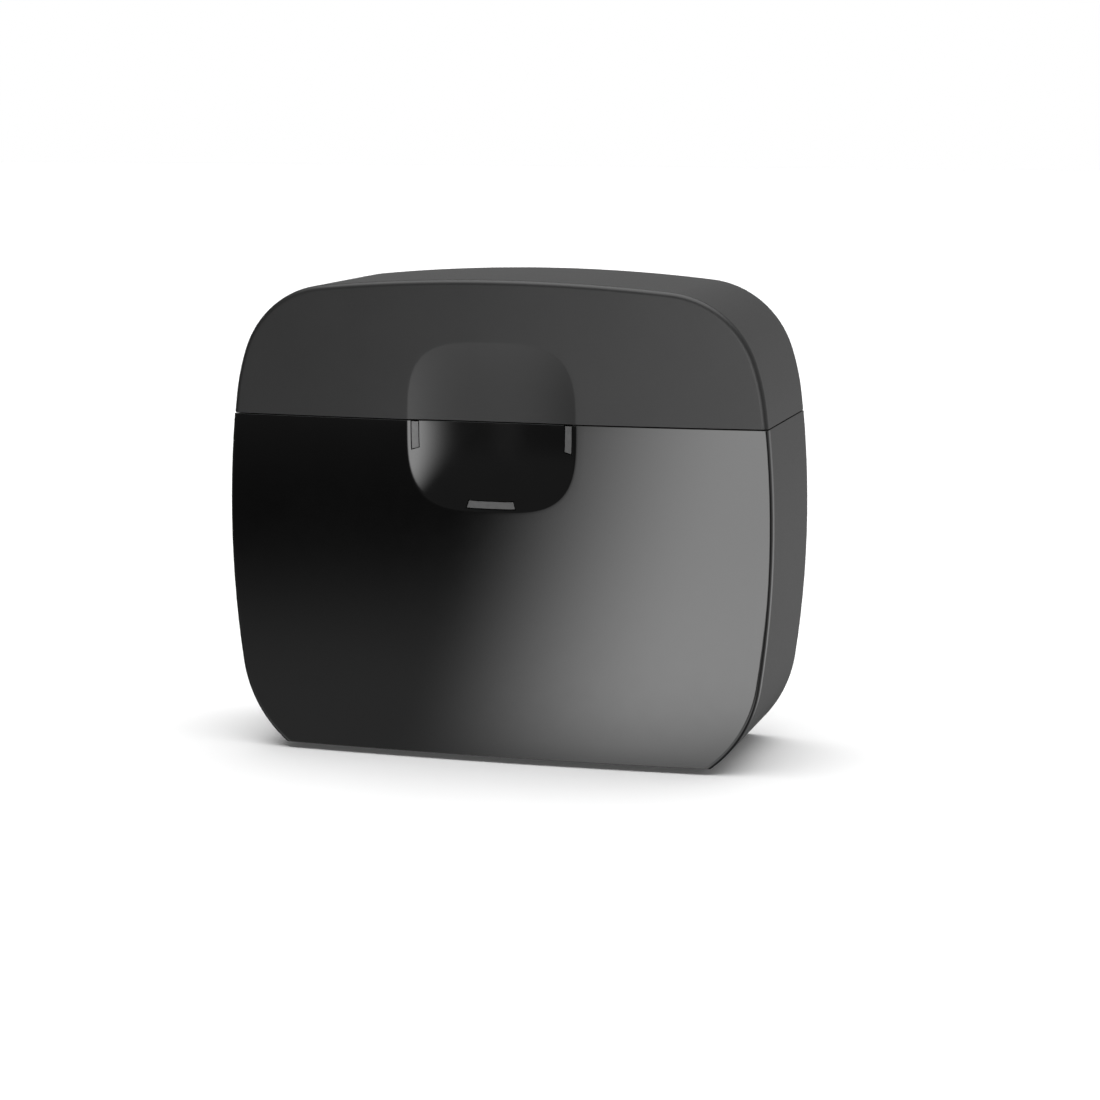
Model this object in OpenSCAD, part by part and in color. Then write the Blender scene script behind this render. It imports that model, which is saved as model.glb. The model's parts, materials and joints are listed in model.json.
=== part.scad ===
// Charging case for two hearing aids: a matt shell with a gloss front plate and a hinged lid.
// Millimetres, +Z up, front towards -Y, origin on the ground under the middle of the case.

/* [Case form] */
// Width across the bulging sides
case_w = 84; // [78:0.5:94]
// Height from the underside of the shell to the crown of the lid
case_h = 71.3; // [68:0.1:80]
// Depth from crown to crown, without the hinge barrel
case_d = 31.1; // [29.5:0.1:36]
// Radius of the bulging sides
side_r = 155; // [125:1:220]
// Height of the widest line of the sides
side_z = 34.4; // [31:0.1:38]
// Radius of the top edge, seen from the front
top_r = 270; // [200:1:400]
// Radius where a side turns into its shoulder
shoulder_r = 34; // [26:0.5:40]
// Direction at which the shoulder turns into the upper corner, in degrees
shoulder_a = 19; // [15:1:25]
// Radius of the upper corners
corner_r = 14.8; // [12:0.1:18]
// Radius of the lower corners
foot_r = 19; // [16:0.1:24]
// How far the lower corners would run below the flat underside
foot_sink = 4; // [2.5:0.05:6]
// Plan radius of the crowned front and back
crown_r = 500; // [350:10:900]
// Fillet along the edges of the base and its front plate
edge_r = 0.6; // [0.4:0.05:1]
// Fillet along the edges of the lid
lid_edge_r = 0.85; // [0.6:0.05:1.3]

/* [Seam and hinge] */
// Height of the seam above the underside of the shell
seam_z = 50.4; // [48:0.1:54]
// Gap between lid and base all round
seam_gap = 0.15; // [0.1:0.05:0.4]
// Length of the hinge barrel
hinge_len = 48; // [40:1:56]
// Length of the lid's middle knuckle
lid_knuckle_len = 19.4; // [14:0.2:24]
// Radius of the hinge barrel
barrel_r = 2; // [1.7:0.1:2.4]
// Diameter of the hinge pin
pin_d = 1.5; // [1.2:0.1:2]
// Radial play of the pin in the lid's knuckle
pin_play = 0.05; // [0.02:0.01:0.08]
// Radial fit of the pin in the base's knuckles
pin_fit = 0.01; // [0.01:0.005:0.02]
// Gap between neighbouring knuckles
knuckle_gap = 0.2; // [0.1:0.05:0.4]
// Radial room round a knuckle in the other half
swing_gap = 0.3; // [0.25:0.05:0.5]

/* [Housing] */
// Wall of the lid and of the upper edge of the base
wall = 1.8; // [1.5:0.1:2.4]
// Width of the ledge that carries the tray
ledge_w = 1.2; // [0.8:0.1:1.6]
// Thickness of the floor
floor_t = 2.4; // [2.2:0.1:3]
// Wall of the base behind the front plate
front_wall = 1.4; // [1.1:0.1:1.8]

/* [Foot pad and screws] */
// How far the pad lifts the shell off the ground
foot_rise = 0.9; // [0.6:0.1:1.5]
// Length of the pad
pad_l = 56; // [52:1:60]
// Width of the pad
pad_w = 20; // [18:0.5:22]
// Corner radius of the pad
pad_corner = 4; // [2:0.5:6]
// Depth of the pad's seat in the floor
pad_seat = 0.6; // [0.4:0.1:0.8]
// Clearance round the pad in its seat
pad_fit = 0.15; // [0.1:0.05:0.3]
// Distance of the screws from the middle, sideways
screw_x = 23; // [20:0.5:24]
// Distance of the screws from the middle, front to back
screw_y = 6; // [5:0.5:7]
// Diameter of the screw shank
screw_d = 2; // [1.6:0.1:2.4]
// Length of the screw shank
screw_l = 6; // [4:0.5:6.5]
// Diameter of the screw head
head_d = 3.6; // [3.2:0.1:4]
// Height of the screw head
head_h = 0.9; // [0.7:0.1:1]
// Radial clearance of the screws in their holes
screw_fit = 0.03; // [0.02:0.01:0.06]
// Gap between a screw head and the pad
head_gap = 0.1; // [0.05:0.05:0.2]
// Length of the cross recess in a head
cross_l = 1.8; // [1.4:0.1:2.2]
// Width of the cross recess
cross_w = 0.4; // [0.3:0.05:0.6]
// Depth of the cross recess
cross_depth = 0.5; // [0.3:0.05:0.6]

/* [Front plate] */
// Thickness of the plate
panel_t = 1.6; // [1.3:0.1:2]

/* [Thumb dish] */
// Width of the dish
dish_w = 25.8; // [22:0.2:29]
// Height of the dish
dish_h = 24.9; // [22:0.1:29]
// How far the middle of the dish lies below the seam
dish_drop = 0.7; // [0:0.1:2]
// Depth of the dish in its middle
dish_depth = 0.75; // [0.5:0.05:1.2]
// Squareness of its outline: 2 is an ellipse
dish_n = 3.4; // [2.4:0.1:4.5]
// Exponent of its hollow: 2 is a parabola
dish_p = 3.5; // [2:0.1:4]
// Material left behind the deepest point
dish_skin = 1.2; // [0.9:0.1:1.5]
// Width of the thickened border behind the dish
dish_rim = 1.6; // [1.2:0.1:2]
// Gap round that border in the shell and in the lining
dish_gap = 0.3; // [0.2:0.05:0.5]

/* [Status windows] */
// Distance of the two side windows from the edge of the dish
window_inset = 0.45; // [0.3:0.05:0.7]
// Distance of the bottom window from the edge of the dish
case_inset = 0.2; // [0.15:0.05:0.5]
// Width of a window
window_w = 1.3; // [1.1:0.05:1.8]
// Length of the two side windows below the seam
window_drop = 4.3; // [3.5:0.1:5.5]
// Length of the window at the bottom of the dish
window_l = 7.4; // [5:0.1:9]
// Gap round a light guide in its window
guide_gap = 0.15; // [0.1:0.05:0.3]
// Width of a light guide's flange
flange_w = 0.6; // [0.4:0.1:0.8]

/* [Charging tray] */
// Thickness of the deck
deck_t = 1.6; // [1.4:0.1:2]
// How far the deck lies below the seam
deck_drop = 0.4; // [0.3:0.1:0.8]
// Wall of the wells and the bowl
tray_wall = 1.2; // [1:0.1:1.4]
// Clearance of the deck in the shell
tray_fit = 0.15; // [0.1:0.05:0.25]
// Width of a well, across the case
well_w = 9; // [8:0.2:10]
// Length of a well, front to back
well_l = 15; // [13:0.2:16]
// Space between a well's wall and the bowl's wall
web = 2; // [1.5:0.1:3]
// Width of the bowl inside
bowl_w = 22; // [18:0.5:24]
// Depth of the bowl
bowl_depth = 14; // [10:0.5:18]
// Corner radius of the bowl
bowl_corner = 4; // [3:0.5:5]
// Width of the slot that leads an ear wire from well to bowl
channel_w = 4; // [3:0.2:5]
// Depth of that slot
channel_depth = 6; // [4:0.5:8]

/* [Battery and chassis] */
// Height of the chassis posts
post_h = 6; // [5.8:0.1:8]
// Diameter of the chassis posts
post_d = 5; // [4.5:0.1:6]
// Thickness of the chassis plate
plate_t = 1.2; // [1:0.1:1.6]
// Height of the rim round the battery
battery_rim = 3; // [2:0.5:5]
// Clearance round the battery
battery_fit = 0.3; // [0.2:0.05:0.5]
// Length of the battery
battery_l = 44; // [36:1:48]
// Width of the battery
battery_w = 15; // [12:0.5:16]
// Height of the battery
battery_h = 6; // [4.5:0.1:7]
// Radius of the battery's upright edges
battery_corner = 2; // [1:0.5:3]
// Thickness of the tape under the battery
tape_t = 0.4; // [0.2:0.1:0.6]
// How far the tape stays inside the battery's edge
tape_inset = 2; // [1:0.5:4]

/* [Coils and magnets] */
// Diameter of a charging coil
coil_d = 11; // [9:0.2:11.4]
// Inner diameter of a charging coil
coil_bore = 4; // [3:0.2:5]
// Thickness of a coil
coil_t = 1; // [0.8:0.1:1.4]
// Thickness of a ferrite disc
ferrite_t = 0.8; // [0.6:0.1:1.2]
// Air between ferrite and battery
coil_air = 0.6; // [0.4:0.1:1]
// Diameter of a closing magnet
magnet_d = 5; // [4:0.5:6]
// Height of a closing magnet
magnet_t = 2; // [1.5:0.1:2.5]
// Plastic between a magnet and the seam
magnet_skin = 0.8; // [0.6:0.1:1]
// Wall round a magnet
magnet_wall = 1.2; // [1:0.1:1.5]
// Radial clearance of a magnet
magnet_fit = 0.05; // [0.03:0.01:0.1]
// Distance of the magnets from the middle of the case towards the front
magnet_y = 6; // [3:0.5:7]

/* [Boards] */
// Width of the main board
board_w = 42; // [40:0.5:46]
// Height of the main board
board_h = 23; // [18:0.5:26]
// Thickness of both boards
board_t = 1; // [0.8:0.1:1.2]
// Distance of the main board from the front wall
standoff_h = 2; // [1.9:0.1:2.5]
// Diameter of a standoff
standoff_d = 4; // [3.2:0.1:4.4]
// Diameter of the pegs that hold the boards
peg_d = 1.4; // [1.2:0.1:1.8]
// Radial clearance of a peg in its hole
peg_fit = 0.05; // [0.03:0.01:0.1]
// Height of an indicator lamp
led_h = 0.7; // [0.5:0.1:0.9]
// Length of an indicator lamp
led_l = 1.6; // [1:0.1:2]
// Width of an indicator lamp
led_w = 0.8; // [0.5:0.1:1.2]
// Height of the tallest chip
chip_h = 1.2; // [0.8:0.1:1.4]
// Edge of the largest chip
chip_w = 6; // [4:0.5:6.5]
// Pitch of the places for chips on the board
chip_pitch = 6; // [5.5:0.5:6.5]
// Width of the charging socket's shell
usb_w = 8.94; // [8.9:0.02:9]
// Height of the charging socket's shell
usb_h = 3.16; // [3.1:0.02:3.2]
// Length of the charging socket
usb_l = 7.4; // [6.5:0.1:8]
// Sheet thickness of the socket
usb_wall = 0.3; // [0.2:0.05:0.4]
// How far the socket's mouth lies behind the back of the case
usb_recess = 0.5; // [0.3:0.1:0.8]
// Thickness of the socket's rear wall
usb_back = 1; // [0.8:0.1:1.4]
// Width of the socket's tongue
tongue_w = 6.7; // [6.5:0.05:6.8]
// Thickness of the socket's tongue
tongue_t = 0.7; // [0.6:0.05:0.8]
// How far the tongue stays behind the socket's mouth
tongue_recess = 0.8; // [0.5:0.1:1.2]
// Clearance of the socket in the wall
usb_fit = 0.2; // [0.1:0.05:0.3]
// Height of the socket board above the floor
usb_lift = 1; // [0.8:0.1:1.4]
// Width of the socket board
usb_board_w = 18; // [15:0.5:22]
// Length of the socket board
usb_board_l = 10; // [9:0.5:11]
// Width of the ribbon between the boards
ribbon_w = 5; // [3:0.5:8]
// Thickness of the ribbon
ribbon_t = 0.3; // [0.2:0.05:0.35]
// Length of ribbon that lies against a board
ribbon_tail = 2; // [1.5:0.1:3]
// Place of the battery's lead, from the middle of the case
lead_x = -10; // [-14:0.5:-7]

/* [Lid inside] */
// Thickness of the lining
liner_t = 1.2; // [1:0.1:1.5]
// Gap between lid and lining
liner_gap = 0.15; // [0.1:0.05:0.25]
// Height of the lining's lower edge above the seam
liner_lip = 1.5; // [1:0.1:2]
// Length of a soft pad
lid_pad_l = 12; // [9:0.5:14]
// Width of a soft pad
lid_pad_w = 7; // [5:0.5:8]
// Height of a soft pad under the ceiling
lid_pad_h = 5; // [3:0.5:7]

/* [Hidden] */
$fn = 64;
// small overlap that joins solids and clears cut faces
bite = 0.5;

// heights, from the underside of the shell
base_top = seam_z - seam_gap / 2;
lid_bottom = seam_z + seam_gap / 2;
deck_z = seam_z - deck_drop;
ledge_z = deck_z - deck_t;
plate_z = floor_t + post_h;
battery_z = plate_z + plate_t + tape_t;
coil_z = battery_z + battery_h + coil_air + ferrite_t;
well_z = coil_z + coil_t + tray_wall;
liner_z = seam_z + liner_lip;

// depths, from the middle of the case
front_y0 = -case_d / 2;
back_y0 = case_d / 2;
front_depth = panel_t + front_wall;
side_depth = wall + ledge_w;
cup_y = front_y0 + dish_depth + dish_skin;
board_y = front_y0 + front_depth + standoff_h;
led_y = board_y - led_h;
chip_y = board_y + board_t + chip_h;
room_gap = 0.4;
well_y = (chip_y + back_y0 - side_depth) / 2;
room_l = back_y0 - side_depth - chip_y - 2 * room_gap;
bowl_l = min(well_l, room_l - 2 * tray_wall);
well_x = bowl_w / 2 + tray_wall + web + tray_wall + well_w / 2;
magnet_x = well_x + well_w / 2 + tray_wall + room_gap + magnet_d / 2 + magnet_wall;
boss_d = magnet_d + 2 * magnet_wall;
tub_l = battery_l + 2 * battery_fit;
tub_w = battery_w + 2 * battery_fit;
battery_y = -front_y(tub_l / 2 + plate_t, side_depth) - room_gap - plate_t - tub_w / 2;
liner_in = wall + liner_gap + liner_t;
peg_rise = 0.4;

// hinge: the axis lies where the crowned back is cut by the ends of the barrel
hinge_y = -front_y(hinge_len / 2 + bite);
swing_r = barrel_r + swing_gap;

// dish and windows, as shares of the way from its middle to its edge
dish_z = seam_z - dish_drop;
window_t1 = 1 - 2 * window_inset / dish_w;
window_t0 = window_t1 - 2 * window_w / dish_w;
window_tm = (window_t0 + window_t1) / 2;
case_t1 = 1 - 2 * case_inset / dish_h;
case_t0 = case_t1 - 2 * window_w / dish_h;
case_tm = (case_t0 + case_t1) / 2;
side_a = atan2(window_drop - dish_drop, window_tm * dish_w / 2);
case_a = atan2(window_l / 2, case_tm * dish_h / 2);
open_a = 12;
side_lamp_z = (seam_z - window_drop + ledge_z) / 2 - flange_w;
case_lamp_z = dish_z - case_tm * dish_h / 2;

// socket
usb_z = floor_t + usb_lift + board_t + usb_h / 2;
usb_mouth_y = back_y0 - usb_recess;
usb_board_y = back_y0 - side_depth - room_gap - usb_board_l / 2;

// outline of the case
function dir(a) = [cos(a), sin(a)];
function bearing(from, to) = atan2(to[1] - from[1], to[0] - from[0]);

// where two circles cross on the right
function meet(c0, r0, c1, r1) =
    let (d = norm(c1 - c0), e = (c1 - c0) / d, a = (r0 * r0 - r1 * r1 + d * d) / (2 * d))
    let (h = sqrt(r0 * r0 - a * a), m = c0 + a * e, n = [-e[1], e[0]])
    (h * n[0] > 0 ? m + h * n : m - h * n);

side_c = [case_w / 2 - side_r, side_z];
top_c = [0, case_h - top_r];
shoulder_shift = (shoulder_r - corner_r) * dir(shoulder_a);
corner_c = meet(side_c + shoulder_shift, side_r - shoulder_r, top_c, top_r - corner_r);
shoulder_c = corner_c - shoulder_shift;
foot_z = foot_r - foot_sink;
foot_c = [side_c[0] + sqrt(pow(side_r - foot_r, 2) - pow(foot_z - side_z, 2)), foot_z];

// points of an arc without its last one
function arc(c, r, a0, a1, n) = [for (i = [0 : n - 1]) c + r * dir(a0 + (a1 - a0) * i / n)];

// right half of the outline, set in by d, from the underside to the top
function half_outline(d) = concat(
    arc(foot_c, foot_r - d, -asin(min(1, foot_z / (foot_r - d))), bearing(side_c, foot_c), 8),
    arc(side_c, side_r - d, bearing(side_c, foot_c), bearing(side_c, shoulder_c), 8),
    arc(shoulder_c, shoulder_r - d, bearing(side_c, shoulder_c), shoulder_a, 3),
    arc(corner_c, corner_r - d, shoulder_a, bearing(top_c, corner_c), 9),
    arc(top_c, top_r - d, bearing(top_c, corner_c), 90, 4));

// whole outline; low carries the underside further down
function outline(d, low) =
    let (half = half_outline(d), n = len(half), x0 = half[0][0])
    concat([[-x0, -low], [x0, -low]], [for (i = [(low > 0 ? 0 : 1) : n - 1]) half[i]], [[0, case_h - d]],
           [for (i = [n - 1 : -1 : (low > 0 ? 0 : 1)]) [-half[i][0], half[i][1]]]);

// the crowned front, set in by d
function front_y(x, d = 0) = crown_r - case_d / 2 - sqrt(pow(crown_r - d, 2) - x * x);

crown_half = case_w / 2 + 2;
crown_steps = 16;
crown_x = [for (i = [0 : crown_steps]) crown_half * (2 * i / crown_steps - 1)];
crown_x_back = [for (i = [0 : crown_steps]) crown_half * (1 - 2 * i / crown_steps)];

module lift() translate([0, 0, foot_rise]) children();

// outline as a plate across the depth
module slab(d, low = 0)
    rotate([90, 0, 0]) linear_extrude(2 * case_d, center = true) polygon(outline(d, low));

// space between the crowned front and back
module crowned(front, back, z0, z1)
    translate([0, 0, z0]) linear_extrude(z1 - z0)
        polygon(concat([for (x = crown_x) [x, front_y(x, front)]],
                       [for (x = crown_x_back) [x, -front_y(x, back)]]));

// layer that follows the front between two depths
module front_layer(d0, d1, z0, z1)
    translate([0, 0, z0]) linear_extrude(z1 - z0)
        polygon(concat([for (x = crown_x) [x, front_y(x, d0)]], [for (x = crown_x_back) [x, front_y(x, d1)]]));

// filled case, set in by d at the sides, front and back, between two heights
module prism(d, front, back, z0, z1) intersection() {
    slab(d, max(0, -z0));
    crowned(front, back, z0, z1);
}

// whole outer form with its edges filleted by r
module case_form(r)
    hull() for (a = [0 : 45 : 90]) prism(r * (1 - cos(a)), r * (1 - sin(a)), r * (1 - sin(a)), 0, case_h);

module band(z0, z1)
    translate([-case_w, -case_w, z0]) cube([2 * case_w, 2 * case_w, z1 - z0]);

// cylinder along X round the hinge axis
module hinge_rod(r, x0, x1)
    translate([x0, hinge_y, seam_z]) rotate([0, 90, 0]) cylinder(r = r, h = x1 - x0);

// upright cylinder along Y
module rod_y(d, x, y0, y1, z)
    translate([x, y0, z]) rotate([-90, 0, 0]) cylinder(d = d, h = y1 - y0);

module stadium(w, l) {
    square([w, l - w], center = true);
    for (s = [-1, 1]) translate([0, s * (l - w) / 2]) circle(d = w);
}

module rounded(w, l, r) {
    square([w - 2 * r, l], center = true);
    square([w, l - 2 * r], center = true);
    for (x = [-1, 1], y = [-1, 1]) translate([x * (w / 2 - r), y * (l / 2 - r)]) circle(r = r);
}

module box(x0, x1, y0, y1, z0, z1) translate([x0, y0, z0]) cube([x1 - x0, y1 - y0, z1 - z0]);

// distance from the middle of the dish to its edge in direction a
function dish_reach(a) =
    pow(pow(abs(cos(a)) * 2 / dish_w, dish_n) + pow(abs(sin(a)) * 2 / dish_h, dish_n), -1 / dish_n);
function dish_point(t, a, more = 0) = [0, dish_z] + (t * dish_reach(a) + more) * dir(a);
function dish_floor(t, a) =
    let (p = dish_point(t, a)) [p[0], front_y(p[0]) + dish_depth * (1 - pow(t, dish_p)), p[1]];

dish_rings = [0.4, 0.65, 0.8, 0.9, 1];
dish_sides = 48;
dish_step = 360 / dish_sides;

// the hollow of the dish, open to the front
module dish_cut() {
    rings = len(dish_rings);
    mouth_y = front_y0 - 2;
    points = concat([[0, front_y0 + dish_depth, dish_z]],
        [for (t = dish_rings, i = [0 : dish_sides - 1]) dish_floor(t, i * dish_step)],
        [for (i = [0 : dish_sides - 1]) let (p = dish_point(1, i * dish_step)) [p[0], mouth_y, p[1]]],
        [[0, mouth_y, dish_z]]);
    last = len(points) - 1;
    faces = concat(
        [for (i = [0 : dish_sides - 1]) [0, 1 + i, 1 + (i + 1) % dish_sides]],
        [for (k = [0 : rings - 1], i = [0 : dish_sides - 1])
            let (a = 1 + k * dish_sides, b = a + dish_sides, j = (i + 1) % dish_sides) [a + i, b + i, b + j]],
        [for (k = [0 : rings - 1], i = [0 : dish_sides - 1])
            let (a = 1 + k * dish_sides, b = a + dish_sides, j = (i + 1) % dish_sides) [a + i, b + j, a + j]],
        [for (i = [0 : dish_sides - 1])
            let (b = 1 + rings * dish_sides) [last, b + (i + 1) % dish_sides, b + i]]);
    polyhedron(points, faces);
}

// block with the outline of the dish, wider by more, between two depths
module dish_block(more, y0, y1)
    translate([0, y1, 0]) rotate([90, 0, 0]) linear_extrude(y1 - y0)
        polygon([for (i = [0 : dish_sides - 1]) dish_point(1, i * dish_step, more)]);

// strip of the dish between two shares and two directions
module window_block(t0, t1, a0, a1, y0, y1) {
    steps = 6;
    translate([0, y1, 0]) rotate([90, 0, 0]) linear_extrude(y1 - y0)
        polygon(concat([for (i = [0 : steps]) dish_point(t1, a0 + (a1 - a0) * i / steps)],
                       [for (i = [steps : -1 : 0]) dish_point(t0, a0 + (a1 - a0) * i / steps)]));
}

// turn that narrows a window by a gap at one end
function gap_a(gap) = atan2(2 * gap, dish_w);

// the three windows; gap narrows them to the guides
module window_right(gap, y0, y1)
    window_block(window_t0 + 2 * gap / dish_w, window_t1 - 2 * gap / dish_w,
                 gap_a(gap) - side_a, open_a, y0, y1);
module window_left(gap, y0, y1) mirror([1, 0, 0]) window_right(gap, y0, y1);
module window_case(gap, y0, y1)
    window_block(case_t0 + 2 * gap / dish_h, case_t1 - 2 * gap / dish_h,
                 270 - case_a + gap_a(gap), 270 + case_a - gap_a(gap), y0, y1);

// places of the main board's standoffs
standoff_x = board_w / 2 - standoff_d / 2;
board_z0 = ledge_z - room_gap - board_h;
board_z1 = ledge_z - room_gap;
standoff_z = [board_z0 + standoff_d / 2, board_z1 - standoff_d / 2];
usb_peg_x = usb_board_w / 2 - standoff_d / 2;
usb_peg_y = usb_board_y - usb_board_l / 2 + standoff_d / 2;

module base_shell() color("#2d2e30") lift() difference() {
    union() {
        difference() {
            intersection() {
                case_form(edge_r);
                band(-bite, base_top);
            }
            prism(side_depth, front_depth, side_depth, floor_t, seam_z + bite);
            prism(wall, front_depth, wall, ledge_z, seam_z + bite);
            // flat front that carries the plate
            front_layer(-bite, panel_t, -bite, seam_z + bite);
            // way for the back of the dish
            dish_block(dish_rim + dish_gap, front_y0, front_y0 + front_depth + bite);
            // room for the lid's knuckle
            hinge_rod(swing_r, -lid_knuckle_len / 2 - knuckle_gap, lid_knuckle_len / 2 + knuckle_gap);
        }
        for (s = [0, 1]) mirror([s, 0, 0])
            hinge_rod(barrel_r, lid_knuckle_len / 2 + knuckle_gap, hinge_len / 2);
        for (x = [-standoff_x, standoff_x], z = standoff_z) {
            rod_y(standoff_d, x, front_y(x, panel_t) + bite, board_y, z);
            rod_y(peg_d, x, board_y - bite, board_y + board_t + peg_rise, z);
        }
        for (x = [-usb_peg_x, usb_peg_x]) translate([x, usb_peg_y, floor_t - bite]) {
            cylinder(d = standoff_d, h = usb_lift + bite);
            cylinder(d = peg_d, h = usb_lift + bite + board_t + peg_rise);
        }
    }
    hinge_rod(pin_d / 2 + pin_fit, -hinge_len / 2 - bite, hinge_len / 2 + bite);
    // seat of the foot pad
    translate([0, 0, -bite]) linear_extrude(pad_seat + bite)
        rounded(pad_l + 2 * pad_fit, pad_w + 2 * pad_fit, pad_corner + pad_fit);
    for (x = [-screw_x, screw_x], y = [-screw_y, screw_y]) translate([x, y, 0]) {
        cylinder(d = screw_d + 2 * screw_fit, h = floor_t + bite);
        cylinder(d = head_d + 2 * pad_fit, h = pad_seat + head_gap + head_h);
    }
    // mouth of the charging socket
    translate([0, back_y0 + bite, usb_z]) rotate([90, 90, 0]) linear_extrude(side_depth + 2 * bite)
        stadium(usb_h + 2 * usb_fit, usb_w + 2 * usb_fit);
}

module front_panel() color("#101012") lift() difference() {
    union() {
        intersection() {
            case_form(edge_r);
            front_layer(-bite, panel_t, -bite, base_top);
        }
        intersection() {
            dish_block(dish_rim, front_y0 + panel_t / 2, cup_y);
            band(0, base_top);
        }
    }
    dish_cut();
    window_left(0, front_y0 - bite, cup_y + bite);
    window_right(0, front_y0 - bite, cup_y + bite);
    window_case(0, front_y0 - bite, cup_y + bite);
}

// block between the back of the dish and the lamp
module guide_flange(x, z0, z1, half_w)
    box(x - half_w, x + half_w, cup_y, led_y - guide_gap, z0, z1);

module light_guide_side() {
    difference() {
        intersection() {
            window_right(guide_gap, front_y0 - bite, cup_y + 0.01);
            band(0, base_top - guide_gap);
        }
        dish_cut();
    }
    guide_flange(window_tm * dish_w / 2, seam_z - window_drop - flange_w, ledge_z - room_gap,
                 window_w / 2 + flange_w);
}

module light_guide_left() color("#8a8c8e") lift() mirror([1, 0, 0]) light_guide_side();
module light_guide_right() color("#8a8c8e") lift() light_guide_side();

module light_guide_case() color("#8a8c8e") lift() {
    difference() {
        window_case(guide_gap, front_y0 - bite, cup_y + 0.01);
        dish_cut();
    }
    guide_flange(0, case_lamp_z - window_w / 2 - flange_w, case_lamp_z + window_w / 2 + flange_w,
                 window_l / 2 + flange_w);
}

module foot_pad() color("#1a1a1b")
    linear_extrude(foot_rise + pad_seat) rounded(pad_l, pad_w, pad_corner);

module housing_screws() color("#b9bcc0") lift()
    for (x = [-screw_x, screw_x], y = [-screw_y, screw_y]) translate([x, y, pad_seat + head_gap]) difference() {
        union() {
            cylinder(d = head_d, h = head_h);
            cylinder(d = screw_d, h = head_h + screw_l);
        }
        // cross recess
        for (a = [0, 90]) rotate(a)
            box(-cross_l / 2, cross_l / 2, -cross_w / 2, cross_w / 2, -bite, cross_depth);
    }

// block round the middle of the battery, w long and l wide
module battery_block(w, l, z0, z1)
    box(-w / 2, w / 2, battery_y - l / 2, battery_y + l / 2, z0, z1);

module chassis() color("#3c4046") lift() {
    rim_z = plate_z + plate_t + battery_rim;
    lead_half = ribbon_w / 2 + room_gap;
    difference() {
        union() {
            battery_block(tub_l + 2 * plate_t, tub_w + 2 * plate_t, plate_z, rim_z);
            for (x = [-screw_x, screw_x], y = [-screw_y, screw_y]) translate([x, y, floor_t])
                cylinder(d = post_d, h = post_h + bite);
        }
        battery_block(tub_l, tub_w, plate_z + plate_t, rim_z + bite);
        for (x = [-screw_x, screw_x], y = [-screw_y, screw_y]) translate([x, y, 0])
            cylinder(d = screw_d + 2 * screw_fit, h = pad_seat + head_gap + head_h + screw_l + bite);
        // way for the battery's lead
        box(lead_x - lead_half, lead_x + lead_half, battery_y - tub_w / 2 - plate_t - bite, battery_y,
            plate_z + plate_t, rim_z + bite);
    }
}

module battery_tape() color("#d8d4c4") lift()
    battery_block(battery_l - 2 * tape_inset, battery_w - 2 * tape_inset, plate_z + plate_t, battery_z);

module battery_cell() color("#9aa4ad") lift()
    translate([0, battery_y, battery_z]) linear_extrude(battery_h)
        rounded(battery_l, battery_w, battery_corner);

// thin ribbon along a route in the YZ plane, given by its lower or front face
module ribbon(x, route)
    translate([x - ribbon_w / 2, 0, 0]) rotate([90, 0, 90]) linear_extrude(ribbon_w) polygon(route);

module battery_lead() color("#c98f3c") lift() {
    y0 = battery_y - battery_w / 2;
    y1 = board_y + board_t;
    z0 = battery_z + battery_h / 3;
    z1 = battery_z + battery_h + ribbon_tail;
    z2 = board_z0 - ribbon_tail;
    z3 = board_z0 + ribbon_tail;
    ribbon(lead_x, [[y0, z0], [y0 - ribbon_t, z0], [y0 - ribbon_t, z1], [y1, z2], [y1, z3],
                          [y1 + ribbon_t, z3], [y1 + ribbon_t, z2], [y0, z1]]);
}

module link_flex() color("#c98f3c") lift() {
    y0 = usb_board_y - usb_board_l / 2 + standoff_d;
    y1 = board_y + board_t;
    z0 = floor_t + usb_lift + board_t;
    z1 = board_z0 + ribbon_tail;
    ribbon(0, [[y0, z0], [y1, z0], [y1, z1], [y1 + ribbon_t, z1], [y1 + ribbon_t, z0 + ribbon_t],
               [y0, z0 + ribbon_t]]);
}

module charging_tray() color("#3a3c40") lift() difference() {
    union() {
        prism(wall + tray_fit, front_depth + tray_fit, wall + tray_fit, ledge_z, deck_z);
        translate([0, well_y, 0]) {
            for (s = [-1, 1]) translate([s * well_x, 0, well_z - tray_wall])
                linear_extrude(ledge_z + bite - well_z + tray_wall)
                    stadium(well_w + 2 * tray_wall, well_l + 2 * tray_wall);
            translate([0, 0, deck_z - bowl_depth - tray_wall])
                linear_extrude(ledge_z + bite - deck_z + bowl_depth + tray_wall)
                    rounded(bowl_w + 2 * tray_wall, bowl_l + 2 * tray_wall, bowl_corner + tray_wall);
            box(-well_x, well_x, -channel_w / 2 - tray_wall, channel_w / 2 + tray_wall,
                deck_z - channel_depth - tray_wall, ledge_z + bite);
        }
        for (s = [-1, 1]) translate([s * magnet_x, -magnet_y, deck_z - magnet_skin - magnet_t])
            cylinder(d = boss_d, h = magnet_t);
    }
    translate([0, well_y, 0]) {
        for (s = [-1, 1]) translate([s * well_x, 0, well_z])
            linear_extrude(deck_z + bite - well_z) stadium(well_w, well_l);
        translate([0, 0, deck_z - bowl_depth]) linear_extrude(bowl_depth + bite)
            rounded(bowl_w, bowl_l, bowl_corner);
        box(-well_x, well_x, -channel_w / 2, channel_w / 2, deck_z - channel_depth, deck_z + bite);
    }
    for (s = [-1, 1]) translate([s * magnet_x, -magnet_y, deck_z - magnet_skin - magnet_t - bite])
        cylinder(d = magnet_d + 2 * magnet_fit, h = magnet_t + bite);
    hinge_rod(swing_r + tray_fit, -hinge_len / 2 - bite, hinge_len / 2 + bite);
}

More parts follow.
